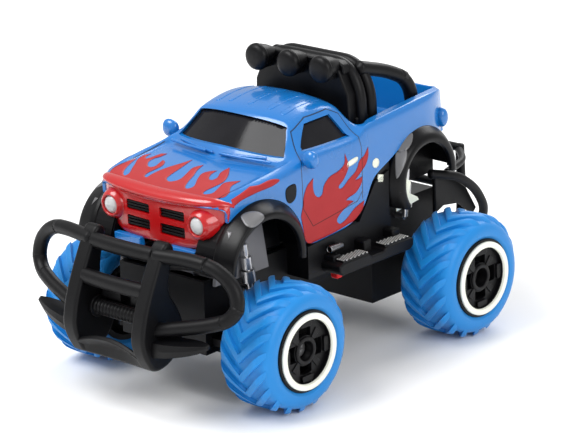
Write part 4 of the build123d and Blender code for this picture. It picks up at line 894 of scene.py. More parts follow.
def smooth_outline(points, steps=4):
    """A closed curve through given points; a point given as (u, v, 1) stays a sharp tip."""
    result = []
    count = len(points)
    for i in range(count):
        p0, p1, p2, p3 = (Vector(points[(i + k) % count][:2]) for k in (-1, 0, 1, 2))
        sharp_start = len(points[i]) > 2
        sharp_end = len(points[(i + 1) % count]) > 2
        m1 = (p2 - p1) if sharp_start else (p2 - p0) / 2
        m2 = (p2 - p1) if sharp_end else (p3 - p1) / 2
        for step in range(steps):
            t = step / steps
            result.append(
                p1 * (2 * t ** 3 - 3 * t ** 2 + 1) + m1 * (t ** 3 - 2 * t ** 2 + t)
                + p2 * (-2 * t ** 3 + 3 * t ** 2) + m2 * (t ** 3 - t ** 2))
    return result


def filled_sheet(mesh, outline, place, grain=0.8):
    """Fill a 2-D outline with small triangles and put each corner where place(u, v) says."""
    sheet = bmesh.new()
    ring = [sheet.verts.new((p[0], p[1], 0)) for p in outline]
    edges = [sheet.edges.new((a, b)) for a, b in zip(ring, ring[1:] + ring[:1])]
    bmesh.ops.triangle_fill(sheet, edges=edges, use_beauty=True)
    for _ in range(6):
        long_edges = [e for e in sheet.edges if e.calc_length() > grain]
        if not long_edges:
            break
        bmesh.ops.subdivide_edges(sheet, edges=long_edges, cuts=1)
        bmesh.ops.triangulate(sheet, faces=[f for f in sheet.faces if len(f.verts) > 3])
    lookup = {}
    for vert in sheet.verts:
        lookup[vert] = mesh.verts.new(place(vert.co.x, vert.co.y))
    for face in sheet.faces:
        mesh.faces.new([lookup[v] for v in face.verts])
    sheet.free()


def dropper(tree, direction, to_start, lift):
    """A place function: from to_start(u, v) along direction onto the surface, lifted off it."""
    direction = Vector(direction).normalized()

    def place(u, v):
        start = to_start(u, v)
        hit, normal, _, _ = tree.ray_cast(start, direction)
        if hit is None:
            hit, normal, _, _ = tree.find_nearest(start + direction * 0.02)
        if normal.dot(direction) > 0:
            normal = -normal
        return hit + normal * lift
    return place


def from_side(side):
    """Start points outside one side, for an outline in (y, z)."""
    return lambda u, v: at(side * 45.0, u, v)


def aslant(side):
    """A direction that meets the curved shoulders and flares of one side nearly square on."""
    return Vector((-side * 0.68, 0.69, -0.26)).normalized()


def diagonal(side):
    """A level direction that meets the rounded front corner of one side square on."""
    return Vector((-side * 0.7, 0.714, 0)).normalized()


def from_corner(side):
    """Start points for aslant, its outline laid out in (y, z) on the plane of the doors."""
    return lambda u, v: at(side * 25.0, u, v) - aslant(side) * 30.0 * MM


def from_above(u, v):
    """Start points above the roof, for an outline in (x, y)."""
    return at(u, v, 90.0)


def from_front(u, v):
    """Start points ahead of the nose, for an outline in (x, z)."""
    return at(u, -70.0, v)


def oriented(mesh, direction):
    """Turn every face of a projected sheet to look back along the direction it was dropped in."""
    direction = Vector(direction)
    for face in mesh.faces:
        face.normal_update()
        if face.normal.dot(direction) > 0:
            face.normal_flip()


def printed(name, tree, outlines, direction, to_start, finish, wall=0.00006):
    """A thin printed patch that follows the surface below it."""
    mesh = bmesh.new()
    place = dropper(tree, direction, to_start, sizes().decal_lift)
    for outline in outlines:
        filled_sheet(mesh, outline, place)
    oriented(mesh, direction)
    return thicken(make_piece(name, mesh, finish, "root"), wall)


# ---------------------------------------------------------------- shell openings, glass and flames


WINDSCREEN = [(0, 66.2), (-9, 65.9), (-19.4, 65.4), (-20.0, 66.4), (-17.2, 71.4), (-16.2, 72.6), (-9, 73.7),
              (0, 74.0),
              (9, 73.7), (16.2, 72.6), (17.2, 71.4), (20.0, 66.4), (19.4, 65.4), (9, 65.9)]
SIDE_WINDOW = [(-14.6, 67.1), (-14.2, 68.0), (-10.0, 72.0), (-8.4, 72.7), (0.2, 73.1), (1.2, 72.6),
               (3.6, 67.4),
               (3.0, 66.5), (-13.6, 66.5)]
REAR_WINDOW = [(-12.5, 68.6), (12.5, 68.6), (13.0, 69.4), (12.0, 73.2), (11.0, 73.9), (-11.0, 73.9),
               (-12.0, 73.2),
               (-13.0, 69.4)]
DOOR_FLAME = [
    (-18.4, 52.0), (-17.9, 54.6), (-16.4, 57.2), (-13.7, 58.9, 1), (-14.0, 56.4), (-13.3, 53.9),
    (-11.6, 52.7),
    (-10.1, 53.4), (-9.3, 55.6), (-6.9, 57.5), (-2.7, 58.4), (-0.3, 59.9), (0.1, 62.7, 1), (1.0, 60.6),
    (1.5, 58.6), (-0.6, 55.6), (-3.1, 53.8), (-2.4, 52.9), (-1.0, 53.2), (1.3, 54.8), (4.6, 56.6),
    (6.3, 59.2),
    (8.3, 60.2), (10.2, 62.3, 1), (10.1, 59.8), (8.9, 57.4), (6.3, 55.4), (4.0, 53.8, 1), (5.6, 53.9),
    (7.2, 54.2, 1),
    (6.8, 52.3), (4.3, 50.1), (1.2, 49.4), (-0.1, 48.8, 1), (1.6, 48.4), (3.3, 47.7, 1), (1.0, 47.1),
    (-1.1, 46.3),
    (-3.4, 44.9), (-4.0, 43.6), (-2.5, 42.4), (0.3, 43.3), (3.6, 45.4), (7.9, 46.8, 1), (7.2, 44.2),
    (5.0, 42.0, 1),
    (-6.0, 40.4), (-17.0, 39.7, 1), (-18.2, 44.0), (-19.3, 49.0, 1),
]
HOOD_FLAME = [
    (0.4, -46.0), (2.0, -44.8), (2.1, -42.6), (0.9, -39.1), (-0.3, -35.4), (0.9, -32.4, 1), (2.2, -36.4),
    (3.9, -39.5), (5.8, -43.8), (7.6, -46.9), (9.2, -47.6), (9.6, -45.4), (7.0, -41.3), (5.3, -37.9),
    (5.8, -35.6),
    (7.6, -33.9, 1), (8.0, -36.8), (9.7, -39.5), (11.2, -39.8), (11.3, -37.8), (9.5, -34.4), (9.1, -30.4, 1),
    (12.6, -34.6), (14.8, -38.9), (15.0, -43.1), (14.9, -47.0), (16.2, -48.1), (17.7, -46.4), (16.6, -42.8),
    (15.6, -39.3), (18.4, -35.8, 1), (18.7, -39.7), (20.1, -42.1), (21.6, -43.6, 1), (22.2, -46.4),
    (20.6, -48.6, 1),
    (10.0, -50.0), (0, -50.4), (-10.0, -50.0), (-20.6, -48.6, 1), (-21.9, -45.0), (-21.2, -37.0, 1),
    (-19.2, -42.2), (-16.7, -46.8), (-14.5, -48.6), (-14.4, -46.8), (-16.4, -43.6), (-18.2, -40.6),
    (-20.2, -37.6),
    (-21.2, -34.4, 1), (-20.0, -32.2, 1), (-19.6, -34.6), (-18.3, -36.1), (-17.6, -34.3), (-17.0, -31.2, 1),
    (-15.2, -30.6, 1), (-15.3, -33.5), (-16.0, -35.0), (-15.6, -37.6), (-13.8, -40.0), (-11.9, -40.9),
    (-11.1, -39.4),
    (-11.9, -36.9), (-12.4, -35.2, 1), (-10.8, -36.0), (-9.4, -38.6), (-9.3, -41.3), (-9.4, -44.1),
    (-8.8, -46.3),
    (-7.5, -46.8), (-7.7, -44.4), (-7.6, -41.7), (-7.0, -38.5), (-5.9, -35.1), (-4.8, -31.0, 1),
    (-3.4, -37.2),
    (-2.5, -42.3), (-1.6, -44.8),
]
NOSE_CORNER = [(-56.0, 59.0, 1), (-52.0, 59.7), (-47.9, 59.9, 1), (-47.5, 57.6), (-47.9, 55.8),
               (-48.4, 54.4, 1),
               (-52.0, 53.4), (-56.0, 53.4, 1)]
FENDER_STRIPE = [
    (-45.8, 61.0, 1), (-43.6, 61.4), (-41.0, 62.0), (-38.1, 62.9, 1), (-35.2, 62.2), (-31.2, 62.5),
    (-28.6, 62.0),
    (-27.6, 61.1), (-30.7, 60.3), (-36.5, 60.1), (-42.2, 59.6), (-45.0, 58.8, 1), (-46.0, 58.6, 1),
]


def cut_through(piece, outline, base, across, up, normal, depth):
    """Cut a smooth-cornered hole through a piece."""
    mesh = bmesh.new()
    prism(mesh, outline, base, across, up, normal, depth)
    fix_normals(mesh)
    data = bpy.data.meshes.new("cutter")
    mesh.to_mesh(data)
    mesh.free()
    cutter = bpy.data.objects.new("cutter", data)
    bpy.context.scene.collection.objects.link(cutter)
    cut = piece.modifiers.new("opening", "BOOLEAN")
    cut.operation = "DIFFERENCE"
    cut.solver = "EXACT"
    cut.object = cutter
    return cutter


def settle(piece, cutters=(), sharp=34):
    """Apply a piece's modifiers, drop its cutters and keep its hard edges crisp."""
    graph = bpy.context.evaluated_depsgraph_get()
    data = bpy.data.meshes.new_from_object(piece.evaluated_get(graph), depsgraph=graph)
    piece.modifiers.clear()
    piece.data = data
    for polygon in data.polygons:
        polygon.use_smooth = True
    data.set_sharp_from_angle(angle=radians(sharp))
    for cutter in cutters:
        bpy.data.objects.remove(cutter)
    return piece


def pane(name, tree, outline, direction, to_start, grow, finish):
    """A curved window pane, grow millimetres larger than its opening, behind the wall."""
    centre = sum((Vector(p[:2]) for p in outline), Vector((0, 0))) / len(outline)
    larger = []
    for point in outline:
        arm = Vector(point[:2]) - centre
        larger.append(centre + arm * (1 + grow / arm.length))
    mesh = bmesh.new()
    filled_sheet(mesh, larger, dropper(tree, direction, to_start, -0.0009), 1.2)
    oriented(mesh, direction)
    return thicken(make_piece(name, mesh, finish, "root"), 0.0004)


class TRUCK_OT_shell(Operator):
    """Painted pickup shell with its window openings, glass and flames"""
    bl_idname = "truck.shell"
    bl_label = "Shell, glass and flames"

    def execute(self, context):
        mesh, rows = shell_cage()
        names = [station[0] for station in shell_stations()]
        last = len(rows) - 1
        base, roof = names.index("base"), names.index("roof")
        back, floor = names.index("back"), names.index("floor")
        gate, tail = names.index("gate"), names.index("tail")
        crease_row(mesh, rows, 1, range(5), 0.55)
        crease_row(mesh, rows, base - 1, range(3), 0.5)
        crease_row(mesh, rows, base, range(3), 0.6)
        crease_row(mesh, rows, roof, range(3), 0.5)
        crease_row(mesh, rows, back - 1, range(3), 0.35)
        crease_row(mesh, rows, floor, range(4), 0.75)
        crease_row(mesh, rows, gate, range(4), 0.75)
        crease_row(mesh, rows, gate + 1, range(4), 0.7)
        crease_row(mesh, rows, tail, range(5), 0.7)
        crease_column(mesh, rows, 2, 1, base, 0.45)
        crease_column(mesh, rows, 2, base, roof, 0.55)
        crease_column(mesh, rows, 2, roof, back, 0.35)
        crease_column(mesh, rows, 2, floor, gate, 0.8)
        crease_column(mesh, rows, 3, 2, base, 0.4)
        crease_column(mesh, rows, 3, floor, tail, 0.8)
        crease_column(mesh, rows, 4, floor, tail, 0.7)
        crease_column(mesh, rows, 4, base, floor, 0.4)
        crease_column(mesh, rows, 8, 0, last, 0.8)
        mirrored(mesh)
        bmesh.ops.remove_doubles(mesh, verts=mesh.verts, dist=1e-6)
        fix_normals(mesh)
        coat = paint("shell_paint", colours().shell_blue, (door_seam, hood_seam))
        shell = make_piece("pickup_shell", mesh, coat, "root", ("body_shell",))
        refine(shell, 3)
        skin = surface_tree(shell)
        thicken(shell, sizes().shell_wall)
        cutters = [
            cut_through(shell, smooth_outline(WINDSCREEN), (0, MID_Y - 30, 0), (1, 0, 0), (0, 0, 1),
                        (0, 1, 0), 24),
            cut_through(shell, smooth_outline(SIDE_WINDOW), (-35, MID_Y, 0), (0, 1, 0), (0, 0, 1), (1, 0, 0),
                        70),
            cut_through(shell, smooth_outline(REAR_WINDOW), (0, MID_Y + 5, 0), (1, 0, 0), (0, 0, 1),
                        (0, 1, 0), 7),
        ]
        settle(shell, cutters)
        glass = tinted("window_tint", colours().glass)
        front = pane("windscreen", skin, smooth_outline(WINDSCREEN), (0, 1, 0), from_front, 0.45, glass)
        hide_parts("window_insert")
        for side, side_name in ((1, "left"), (-1, "right")):
            pane(f"side_window_{side_name}", skin, smooth_outline(SIDE_WINDOW), (-side, 0, 0),
                 from_side(side),
                 0.45, glass)
        pane("rear_window", skin, smooth_outline(REAR_WINDOW), (0, -1, 0), lambda u, v: at(u, 10.5, v), 0.45,
             glass)
        red = ink("flame_ink", colours().ink_red, (door_seam, hood_seam))
        printed("hood_flames", skin, [smooth_outline(HOOD_FLAME)], (0, 0, -1), from_above, red)
        gloss = paint("corner_paint", colours().flame_red)
        for side, side_name in ((1, "left"), (-1, "right")):
            printed(f"nose_corner_{side_name}", skin, [smooth_outline(NOSE_CORNER)], diagonal(side),
                    lambda u, v: at(side * 25.0, u, v) - diagonal(side) * 20.0 * MM, gloss)
            printed(f"door_flames_{side_name}", skin, [smooth_outline(DOOR_FLAME)], (-side, 0, 0),
                    from_side(side), red)
            printed(f"fender_stripe_{side_name}", skin, [smooth_outline(FENDER_STRIPE)],
                    (-side * 0.8, 0, -0.6),
                    lambda u, v: at(side * 24.7, u, v) + Vector((side * 0.8, 0, 0.6)) * 0.02, red)
        return {"FINISHED"}


# ---------------------------------------------------------------- nose


# Plan of the nose from its middle round to the fender: x, y, height of the cap and of the lower edge.
NOSE_PLAN = (
    (0.0, -53.5, 61.0, 44.8), (4.0, -53.45, 61.05, 44.8), (8.0, -53.3, 61.15, 44.8),
    (12.0, -52.95, 61.2, 44.9),
    (15.5, -52.5, 61.2, 45.6), (18.5, -51.8, 61.15, 48.2), (21.0, -50.8, 61.05, 51.0),
    (23.0, -49.3, 60.75, 52.6),
    (24.4, -47.4, 60.1, 54.8), (25.0, -45.6, 59.6, 56.6),
)
# Across the nose: how far back from the plan curve, and either a drop from the cap or a share of the face.
NOSE_ROWS = (
    (3.3, 0.05, None, 0.5), (2.9, 0.0, None, 0.0), (1.3, 0.25, None, 0.0), (0.15, 1.2, None, 0.0),
    (-0.15, 2.2, None, 0.2),
    (0.35, 3.0, None, 0.3), (1.35, 3.5, None, 0.3), (1.5, None, 0.08, 0.0), (1.55, None, 0.4, 0.0),
    (1.6, None, 0.75, 0.0), (1.8, None, 0.94, 0.2), (2.6, None, 1.0, 0.5), (3.2, None, 1.0, 0.6),
)
GRILLE_ROWS = ((47.9, 51.2), (52.8, 55.8))
GRILLE_IN, GRILLE_OUT = 2.0, 11.2
HEADLIGHT = (16.8, 53.1)


def nose_sheet():
    """The red front of the truck as a sheet: brow, grille face and lower edge."""
    mesh = bmesh.new()
    rows = []
    for i, (x, y, cap, bottom) in enumerate(NOSE_PLAN):
        before = NOSE_PLAN[max(i - 1, 0)]
        after = NOSE_PLAN[min(i + 1, len(NOSE_PLAN) - 1)]
        along = Vector((after[0] - before[0], after[1] - before[1])).normalized()
        inward = Vector((-along.y, along.x)) if i else Vector((0, 1))
        fade = 1.0 - 0.5 * (x / 25.0) ** 3
        face_top = cap - 3.5
        row = []
        for back, drop, share, _ in NOSE_ROWS:
            place = Vector((x, y)) + inward * back * (fade if back > 0.4 else 1.0)
            if share is None:
                height = cap - drop * fade
            else:
                height = face_top + (min(bottom, face_top - 0.3) - face_top) * share
            row.append(mesh.verts.new(at(place.x, place.y, height)))
        rows.append(row)
    for low, high in zip(rows, rows[1:]):
        for i in range(len(NOSE_ROWS) - 1):
            mesh.faces.new((low[i], low[i + 1], high[i + 1], high[i]))
    for r, (_, _, _, sharp) in enumerate(NOSE_ROWS):
        if sharp:
            for low, high in zip(rows, rows[1:]):
                crease(mesh, low[r], high[r], sharp)
    mirrored(mesh)
    bmesh.ops.remove_doubles(mesh, verts=mesh.verts, dist=1e-6)
    fix_normals(mesh)
    return mesh


def slot_outline(x0, x1, z0, z1, corner=0.5):
    """A rectangle with round corners."""
    points = []
    for cx, cz, start in ((x1 - corner, z0 + corner, -90), (x1 - corner, z1 - corner, 0),
                          (x0 + corner, z1 - corner, 90), (x0 + corner, z0 + corner, 180)):
        for step in range(5):
            angle = radians(start + step * 22.5)
            points.append((cx + corner * cos(angle), cz + corner * sin(angle)))
    return points


class TRUCK_OT_nose(Operator):
    """Red nose with four grille openings, bezels, lenses and the blue valance"""
    bl_idname = "truck.nose"
    bl_label = "Nose"

    def execute(self, context):
        red = paint("nose_paint", colours().flame_red)
        nose = make_piece("red_nose", nose_sheet(), red, "root")
        refine(nose, 3)
        thicken(nose, 0.0013)
        cutters = []
        for low, high in GRILLE_ROWS:
            for side in (-1, 1):
                ends = sorted((side * GRILLE_IN, side * GRILLE_OUT))
                cutters.append(cut_through(nose, slot_outline(*ends, low, high), (0, MID_Y - 57, 0),
                                           (1, 0, 0), (0, 0, 1), (0, 1, 0), 9))
        settle(nose, cutters)

        black = moulded("grille_black", colours().black, 0.3)
        mesh = bmesh.new()
        outline = slot_outline(-GRILLE_OUT - 0.8, GRILLE_OUT + 0.8, 47.0, 56.6, 0.8)
        prism(mesh, outline, (0, MID_Y - 50.3, 0), (1, 0, 0), (0, 0, 1), (0, 1, 0), 0.9)
        for low, high in GRILLE_ROWS:
            for side in (-1, 1):
                for share in (0.22, 0.5, 0.78):
                    z = low + share * (high - low)
                    ends = sorted((side * (GRILLE_IN - 0.3), side * (GRILLE_OUT + 0.3)))
                    block(mesh, (ends[0], -51.35, z - 0.3), (ends[1], -50.2, z + 0.3))
        fix_normals(mesh)
        soften(make_piece("grille_slats", mesh, black, "root", ("grille_insert",)), 0.00012)

        mesh = bmesh.new()
        bezel = [(-48.6, 2.62), (-52.5, 2.62), (-52.85, 2.75), (-52.95, 3.05), (-52.7, 3.5), (-51.7, 4.1),
                 (-50.4, 4.8), (-48.6, 5.4)]
        for side in (-1, 1):
            lathe(mesh, bezel + bezel[:1], Vector((side * HEADLIGHT[0], MID_Y, HEADLIGHT[1])), "Y", 48)
        fix_normals(mesh)
        soften(make_piece("headlight_bezels", mesh, red, "root"), 0.00012)

        mesh = bmesh.new()
        dome = [(-50.8, 2.6), (-51.9, 2.6), (-52.35, 2.45), (-52.75, 2.05), (-53.0, 1.5), (-53.15, 0.8),
                (-53.2, 0.001)]
        for side in (-1, 1):
            lathe(mesh, dome, Vector((side * HEADLIGHT[0], MID_Y, HEADLIGHT[1])), "Y", 48)
        bmesh.ops.remove_doubles(mesh, verts=mesh.verts, dist=1e-6)
        fix_normals(mesh)
        lens = lamp_lens("lens_white", colours().lens)
        make_piece("headlight_lenses_round", mesh, lens, "root", ("headlight_lenses",))

        mesh = bmesh.new()
        for side in (-1, 1):
            ends = sorted((side * 5.6, side * 15.8))
            block(mesh, (ends[0], -52.6, 41.6), (ends[1], -50.6, 45.4))
            block(mesh, (ends[0] + 0.5, -53.0, 42.2), (ends[1] - 0.5, -52.5, 43.1))
        fix_normals(mesh)
        blue = paint("valance_paint", colours().shell_blue)
        soften(make_piece("blue_valance", mesh, blue, "root"), 0.0003, 3)
        return {"FINISHED"}


# ---------------------------------------------------------------- flares


FLARE_CREST = 1.7


def flare_mesh(arch, lip, lip_x, foot_front, foot_rear):
    """One left flare: it leaves the shell along the arch's edge and curls in at its lip."""
    centre_y, centre_z, radius = arch
    lip_y, lip_z, lip_radius = lip
    mesh = bmesh.new()

    def angle_at(centre_height, r, foot):
        return asin(max(-0.99, min(0.99, (foot - centre_height) / r)))

    def ring_point(x, y, z, r, turn):
        return Vector((x, y + r * cos(turn), z + r * sin(turn)))

    outer_start, outer_end = pi - angle_at(centre_z, radius, foot_front), angle_at(centre_z, radius,
                                                                                   foot_rear)
    inner_start, inner_end = pi - angle_at(lip_z, lip_radius, foot_front), angle_at(lip_z, lip_radius,
                                                                                    foot_rear)
    rings = []
    steps = 30
    for step in range(steps + 1):
        share = step / steps
        a = outer_start + (outer_end - outer_start) * share
        b = inner_start + (inner_end - inner_start) * share
        under = ring_point(23.4, centre_y, centre_z, radius - 0.3, a)
        root = ring_point(25.0, centre_y, centre_z, radius - 0.1, a)
        edge = ring_point(lip_x - 0.1, lip_y, lip_z, lip_radius + FLARE_CREST, b)
        bead = ring_point(lip_x + 0.1, lip_y, lip_z, lip_radius + FLARE_CREST * 0.45, b)
        inner = ring_point(lip_x - 0.25, lip_y, lip_z, lip_radius, b)
        tuck = ring_point(lip_x - 1.4, lip_y, lip_z, lip_radius - 0.1, b)
        low = root.lerp(edge, 0.33) + Vector((0.25, 0, 0))
        high = root.lerp(edge, 0.72) + Vector((0.55, 0, 0))
        rings.append([at(*point) for point in (under, root, low, high, edge, bead, inner, tuck)])
    rows = loft(mesh, rings, closed=False)
    for column, amount in ((1, 0.4), (4, 0.55), (6, 0.6), (0, 0.8), (7, 0.8)):
        crease_column(mesh, rows, column, 0, len(rows) - 1, amount)
    crease_row(mesh, rows, 0, range(8), 0.9)
    crease_row(mesh, rows, len(rows) - 1, range(8), 0.9)
    return mesh


def liner(mesh, arch, inner_x, outer_x, grow, low_z):
    """The dark inside of a wheel arch: a half pipe with a wall at its inner end."""
    centre_y, centre_z, radius = arch
    radius -= grow
    ring_in, ring_out = [], []
    steps = 28
    for step in range(steps + 1):
        angle = pi * step / steps
        y, z = centre_y + radius * cos(angle), centre_z + radius * sin(angle)
        ring_in.append(at(inner_x, y, z))
        ring_out.append(at(outer_x, y, z))
    loft(mesh, [ring_in, ring_out], closed=False)
    wall = [ring_in[0], *ring_in[1:], at(inner_x, centre_y - radius, low_z),
            at(inner_x, centre_y + radius, low_z)]
    mesh.faces.new([mesh.verts.new(point) for point in wall])


class TRUCK_OT_flares(Operator):
    """Black wheel arch flares with silver patches"""
    bl_idname = "truck.flares"
    bl_label = "Flares"

    def execute(self, context):
        black = moulded("flare_black", colours().black, 0.26)
        silver = printed_silver("flare_silver", tuple(0.5 * level for level in colours().silver))
        tag = printed_silver("tag_silver", colours().ring)
        front_patches = (
            [(-43.3, 55.0), (-41.8, 55.8), (-38.4, 55.6), (-35.3, 54.4), (-34.2, 52.9), (-36.0, 51.7),
             (-38.6, 51.2),
             (-41.5, 52.3)],
            [(-49.1, 52.5, 1), (-47.0, 51.7, 1), (-48.7, 49.9, 1)],
        )
        rear_patches = (
            [(23.4, 58.2), (24.6, 60.6), (27.2, 61.7), (30.4, 61.3), (29.6, 58.6), (26.4, 56.8)],
            [(22.6, 56.9), (24.8, 57.3), (27.4, 57.0), (26.6, 53.6), (22.6, 49.6)],
        )
        mesh = bmesh.new()
        liner(mesh, FRONT_ARCH, 16.4, 24.4, 0.5, 39.0)
        liner(mesh, REAR_ARCH, 17.6, 24.2, 0.5, 44.0)
        mirrored(mesh)
        bmesh.ops.remove_doubles(mesh, verts=mesh.verts, dist=1e-6)
        bmesh.ops.triangulate(mesh, faces=[face for face in mesh.faces if len(face.verts) > 4])
        thicken(make_piece("arch_liners", mesh, black, "root", smooth=False), 0.0004)
        mesh = bmesh.new()
        cladding = [(8.6, 45.6), (10.2, 49.2), (11.6, 53.4), (12.6, 54.6), (17.6, 55.0), (20.0, 56.4),
                    (20.4, 52.0),
                    (19.0, 46.0), (19.0, 38.6), (7.0, 38.6), (6.4, 42.8)]
        for side in (-1, 1):
            side_plate(mesh, cladding, side * 24.3 - 0.6, 1.2)
        fix_normals(mesh)
        soften(make_piece("sill_cladding", mesh, black), 0.0004, 2)
        mesh = bmesh.new()
        for side in (-1, 1):
            side_plate(mesh, [(13.8, 50.8), (14.4, 53.0), (16.6, 52.4), (16.2, 50.2)], side * 25.35 - 0.25,
                       0.5)
        fix_normals(mesh)
        soften(make_piece("sill_tags", mesh, tag, "root"), 0.0001, 2)
        mesh = bmesh.new()
        blade = [(27.2, 48.6), (29.2, 47.0), (28.4, 43.7), (32.0, 41.7), (32.7, 40.6), (22.6, 39.5),
                 (22.0, 41.8),
                 (25.2, 42.2), (27.1, 45.6)]
        for side in (-1, 1):
            side_plate(mesh, blade, side * 25.0 - 0.2, 0.4)
        fix_normals(mesh)
        soften(make_piece("rear_arch_blades", mesh, tag, "root"), 0.0001, 2)
        for end_name, arch, lip, lip_x, feet, patches in (
            ("front", FRONT_ARCH, (-38.0, 40.3, 13.4), 30.5, (41.0, 39.0), front_patches),
            ("rear", REAR_ARCH, (34.0, 47.6, 10.5), 28.4, (41.2, 47.2), rear_patches),
        ):
            mesh = flare_mesh(arch, lip, lip_x, *feet)
            mirrored(mesh)
            fix_normals(mesh)
            flare = make_piece(f"{end_name}_arch_flares", mesh, black, "root",
                               (f"{end_name}_flares",))
            refine(flare, 2)
            skin = surface_tree(flare)
            thicken(flare, 0.0009)
            for side, side_name in ((1, "left"), (-1, "right")):
                printed(f"{end_name}_flare_patches_{side_name}", skin, [smooth_outline(p) for p in patches],
                        aslant(side), from_corner(side), silver)
        return {"FINISHED"}


# ---------------------------------------------------------------- front bumper and winch


def upright_outline():
    """Side view of one bumper upright, its deep lower plate included, in (y, z)."""
    front_edge = [(-64.6, 49.6), (-66.6, 46.0), (-69.6, 40.0), (-72.4, 33.6), (-73.9, 28.6), (-74.5, 24.6),
                  (-73.6, 20.6), (-71.8, 17.2), (-70.2, 15.4)]
    rear_edge = [(-66.5, 15.2), (-61.8, 17.4), (-58.6, 22.0), (-58.2, 27.0), (-60.2, 32.0), (-62.8, 36.4),
                 (-62.6, 41.0), (-61.2, 45.6), (-60.4, 48.6), (-61.4, 50.4), (-63.2, 50.8)]
    return front_edge + rear_edge


class TRUCK_OT_bumper(Operator):
    """Front bumper: uprights, cross bars, round side loops, blade wings and skid plate"""
    bl_idname = "truck.bumper"
    bl_label = "Front bumper"

    def execute(self, context):
        black = moulded("bumper_black", colours().black, 0.4)
        radius = sizes().bumper_tube
        mesh = bmesh.new()
        for side in (-1, 1):
            outer = side * 15.9
            inner = side * 10.8
            side_plate(mesh, smooth_outline(upright_outline(), 3), min(outer, inner), abs(outer - inner))
        fix_normals(mesh)
        uprights = make_piece("bumper_uprights", mesh, black, "root", ("front_bumper",))
        soften(uprights, 0.0011, 4, 28)

        mesh = bmesh.new()
        for y, z, half_depth, half_height in ((-64.5, 46.9, 1.9, 2.3), (-68.8, 37.6, 1.9, 2.3)):
            rings = []
            for step in range(13):
                x = -11.8 + 23.6 * step / 12
                sag = 0.5 * (1 - (x / 11.8) ** 2)
                ring = []
                for k in range(16):
                    angle = 2 * pi * k / 16
                    ring.append(at(x, y - sag + half_depth * cos(angle), z + half_height * sin(angle)))
                rings.append(ring)
            loft(mesh, rings, capped=True)
        skid = []
        for step in range(17):
            x = -11.8 + 23.6 * step / 16
            bow = 1 - (x / 11.8) ** 2
            upper = 20.2 + 2.6 * bow
            hollow = 1.6 * bow
            skid.append([
                at(x, -72.6 + 0.4 * bow, upper), at(x, -73.4, upper - 0.8),
                at(x, -71.6 + hollow, (upper + 15.2) / 2),
                at(x, -70.4 + 0.3 * hollow, 15.6), at(x, -69.2, 14.9), at(x, -68.4, 15.6),
                at(x, -69.8 + hollow, (upper + 15.2) / 2), at(x, -71.6, upper - 0.6),
            ])
        loft(mesh, skid, capped=True)
        fix_normals(mesh)
        soften(make_piece("bumper_crossbars", mesh, black), 0.0004, 3, 30)

        mesh = bmesh.new()
        for side in (-1, 1):
            path = [at(side * 13.0, -64.6, 47.2), at(side * 24.0, -62.6, 47.4), at(side * 33.0, -60.6, 46.0),
                    at(side * 39.4, -59.8, 39.4), at(side * 38.2, -61.2, 33.0), at(side * 31.0, -64.0, 30.4),
                    at(side * 13.4, -68.4, 26.4)]
            tube(mesh, path, radius, (5.0, 5.0, 4.5, 4.0, 5.0), 16)
            arm = [at(side * 13.0, -61.4, 43.6), at(side * 19.5, -56.0, 43.0), at(side * 24.2, -52.0, 43.4)]
            tube(mesh, arm, radius * 0.62, (3.0,), 12)
        fix_normals(mesh)
        make_piece("bumper_loops", mesh, black)

        mesh = bmesh.new()
        for side in (-1, 1):
            stations = [
                (13.6, -71.6, 21.8, 4.6, -64.5), (20.0, -71.4, 22.4, 3.9, -64.0),
                (26.0, -70.2, 23.4, 3.2, -64.2),
                (30.6, -68.6, 24.4, 2.3, -65.0), (33.2, -67.2, 25.2, 1.0, -66.2),
            ]
            rings = []
            for x, y, z, height, rear_y in stations:
                rings.append([
                    at(side * x, y, z + 0.1), at(side * x, y + 0.3, z + height / 2),
                    at(side * x, rear_y, z + height / 2 + 0.5),
                    at(side * x, rear_y + 0.2, z + height / 2 - 0.6),
                    at(side * x, y + 1.8, z - height / 2 + 0.7),
                    at(side * x, y + 0.5, z - height / 2),
                ])
            loft(mesh, rings, capped=True)
        fix_normals(mesh)
        wings = make_piece("bumper_wings", mesh, black)
        soften(wings, 0.0005, 2, 24)
        refine(wings, 1)

        mesh = bmesh.new()
        centre = Vector((0, MID_Y - 66.0, 28.2))
        drum = [(-10.6, 0.001), (-10.6, 3.0), (-9.4, 3.2), (-9.3, 2.2)]
        for turn in range(13):
            start = -8.6 + turn * 1.3
            drum += [(start, 2.0), (start + 0.35, 2.35), (start + 0.8, 2.35)]
        drum += [(9.3, 2.2), (9.4, 3.2), (10.6, 3.0), (10.6, 0.001)]
        lathe(mesh, drum, centre, "X", 40)
        bmesh.ops.remove_doubles(mesh, verts=mesh.verts, dist=1e-6)
        block(mesh, (-9.6, -64.6, 30.4), (-2.2, -59.6, 33.4))
        block(mesh, (1.8, -64.6, 30.4), (9.6, -59.6, 33.4))
        block(mesh, (-11.2, -61.6, 25.8), (11.2, -59.4, 31.6))
        fix_normals(mesh)
        soften(make_piece("winch_drum", mesh, black, "root", ("front_winch",)), 0.0003, 2,
               34)
        return {"FINISHED"}


# ---------------------------------------------------------------- roll bar, lamps and rear bumper


LAMP_PLACES = (-12.4, 0.0, 12.4)


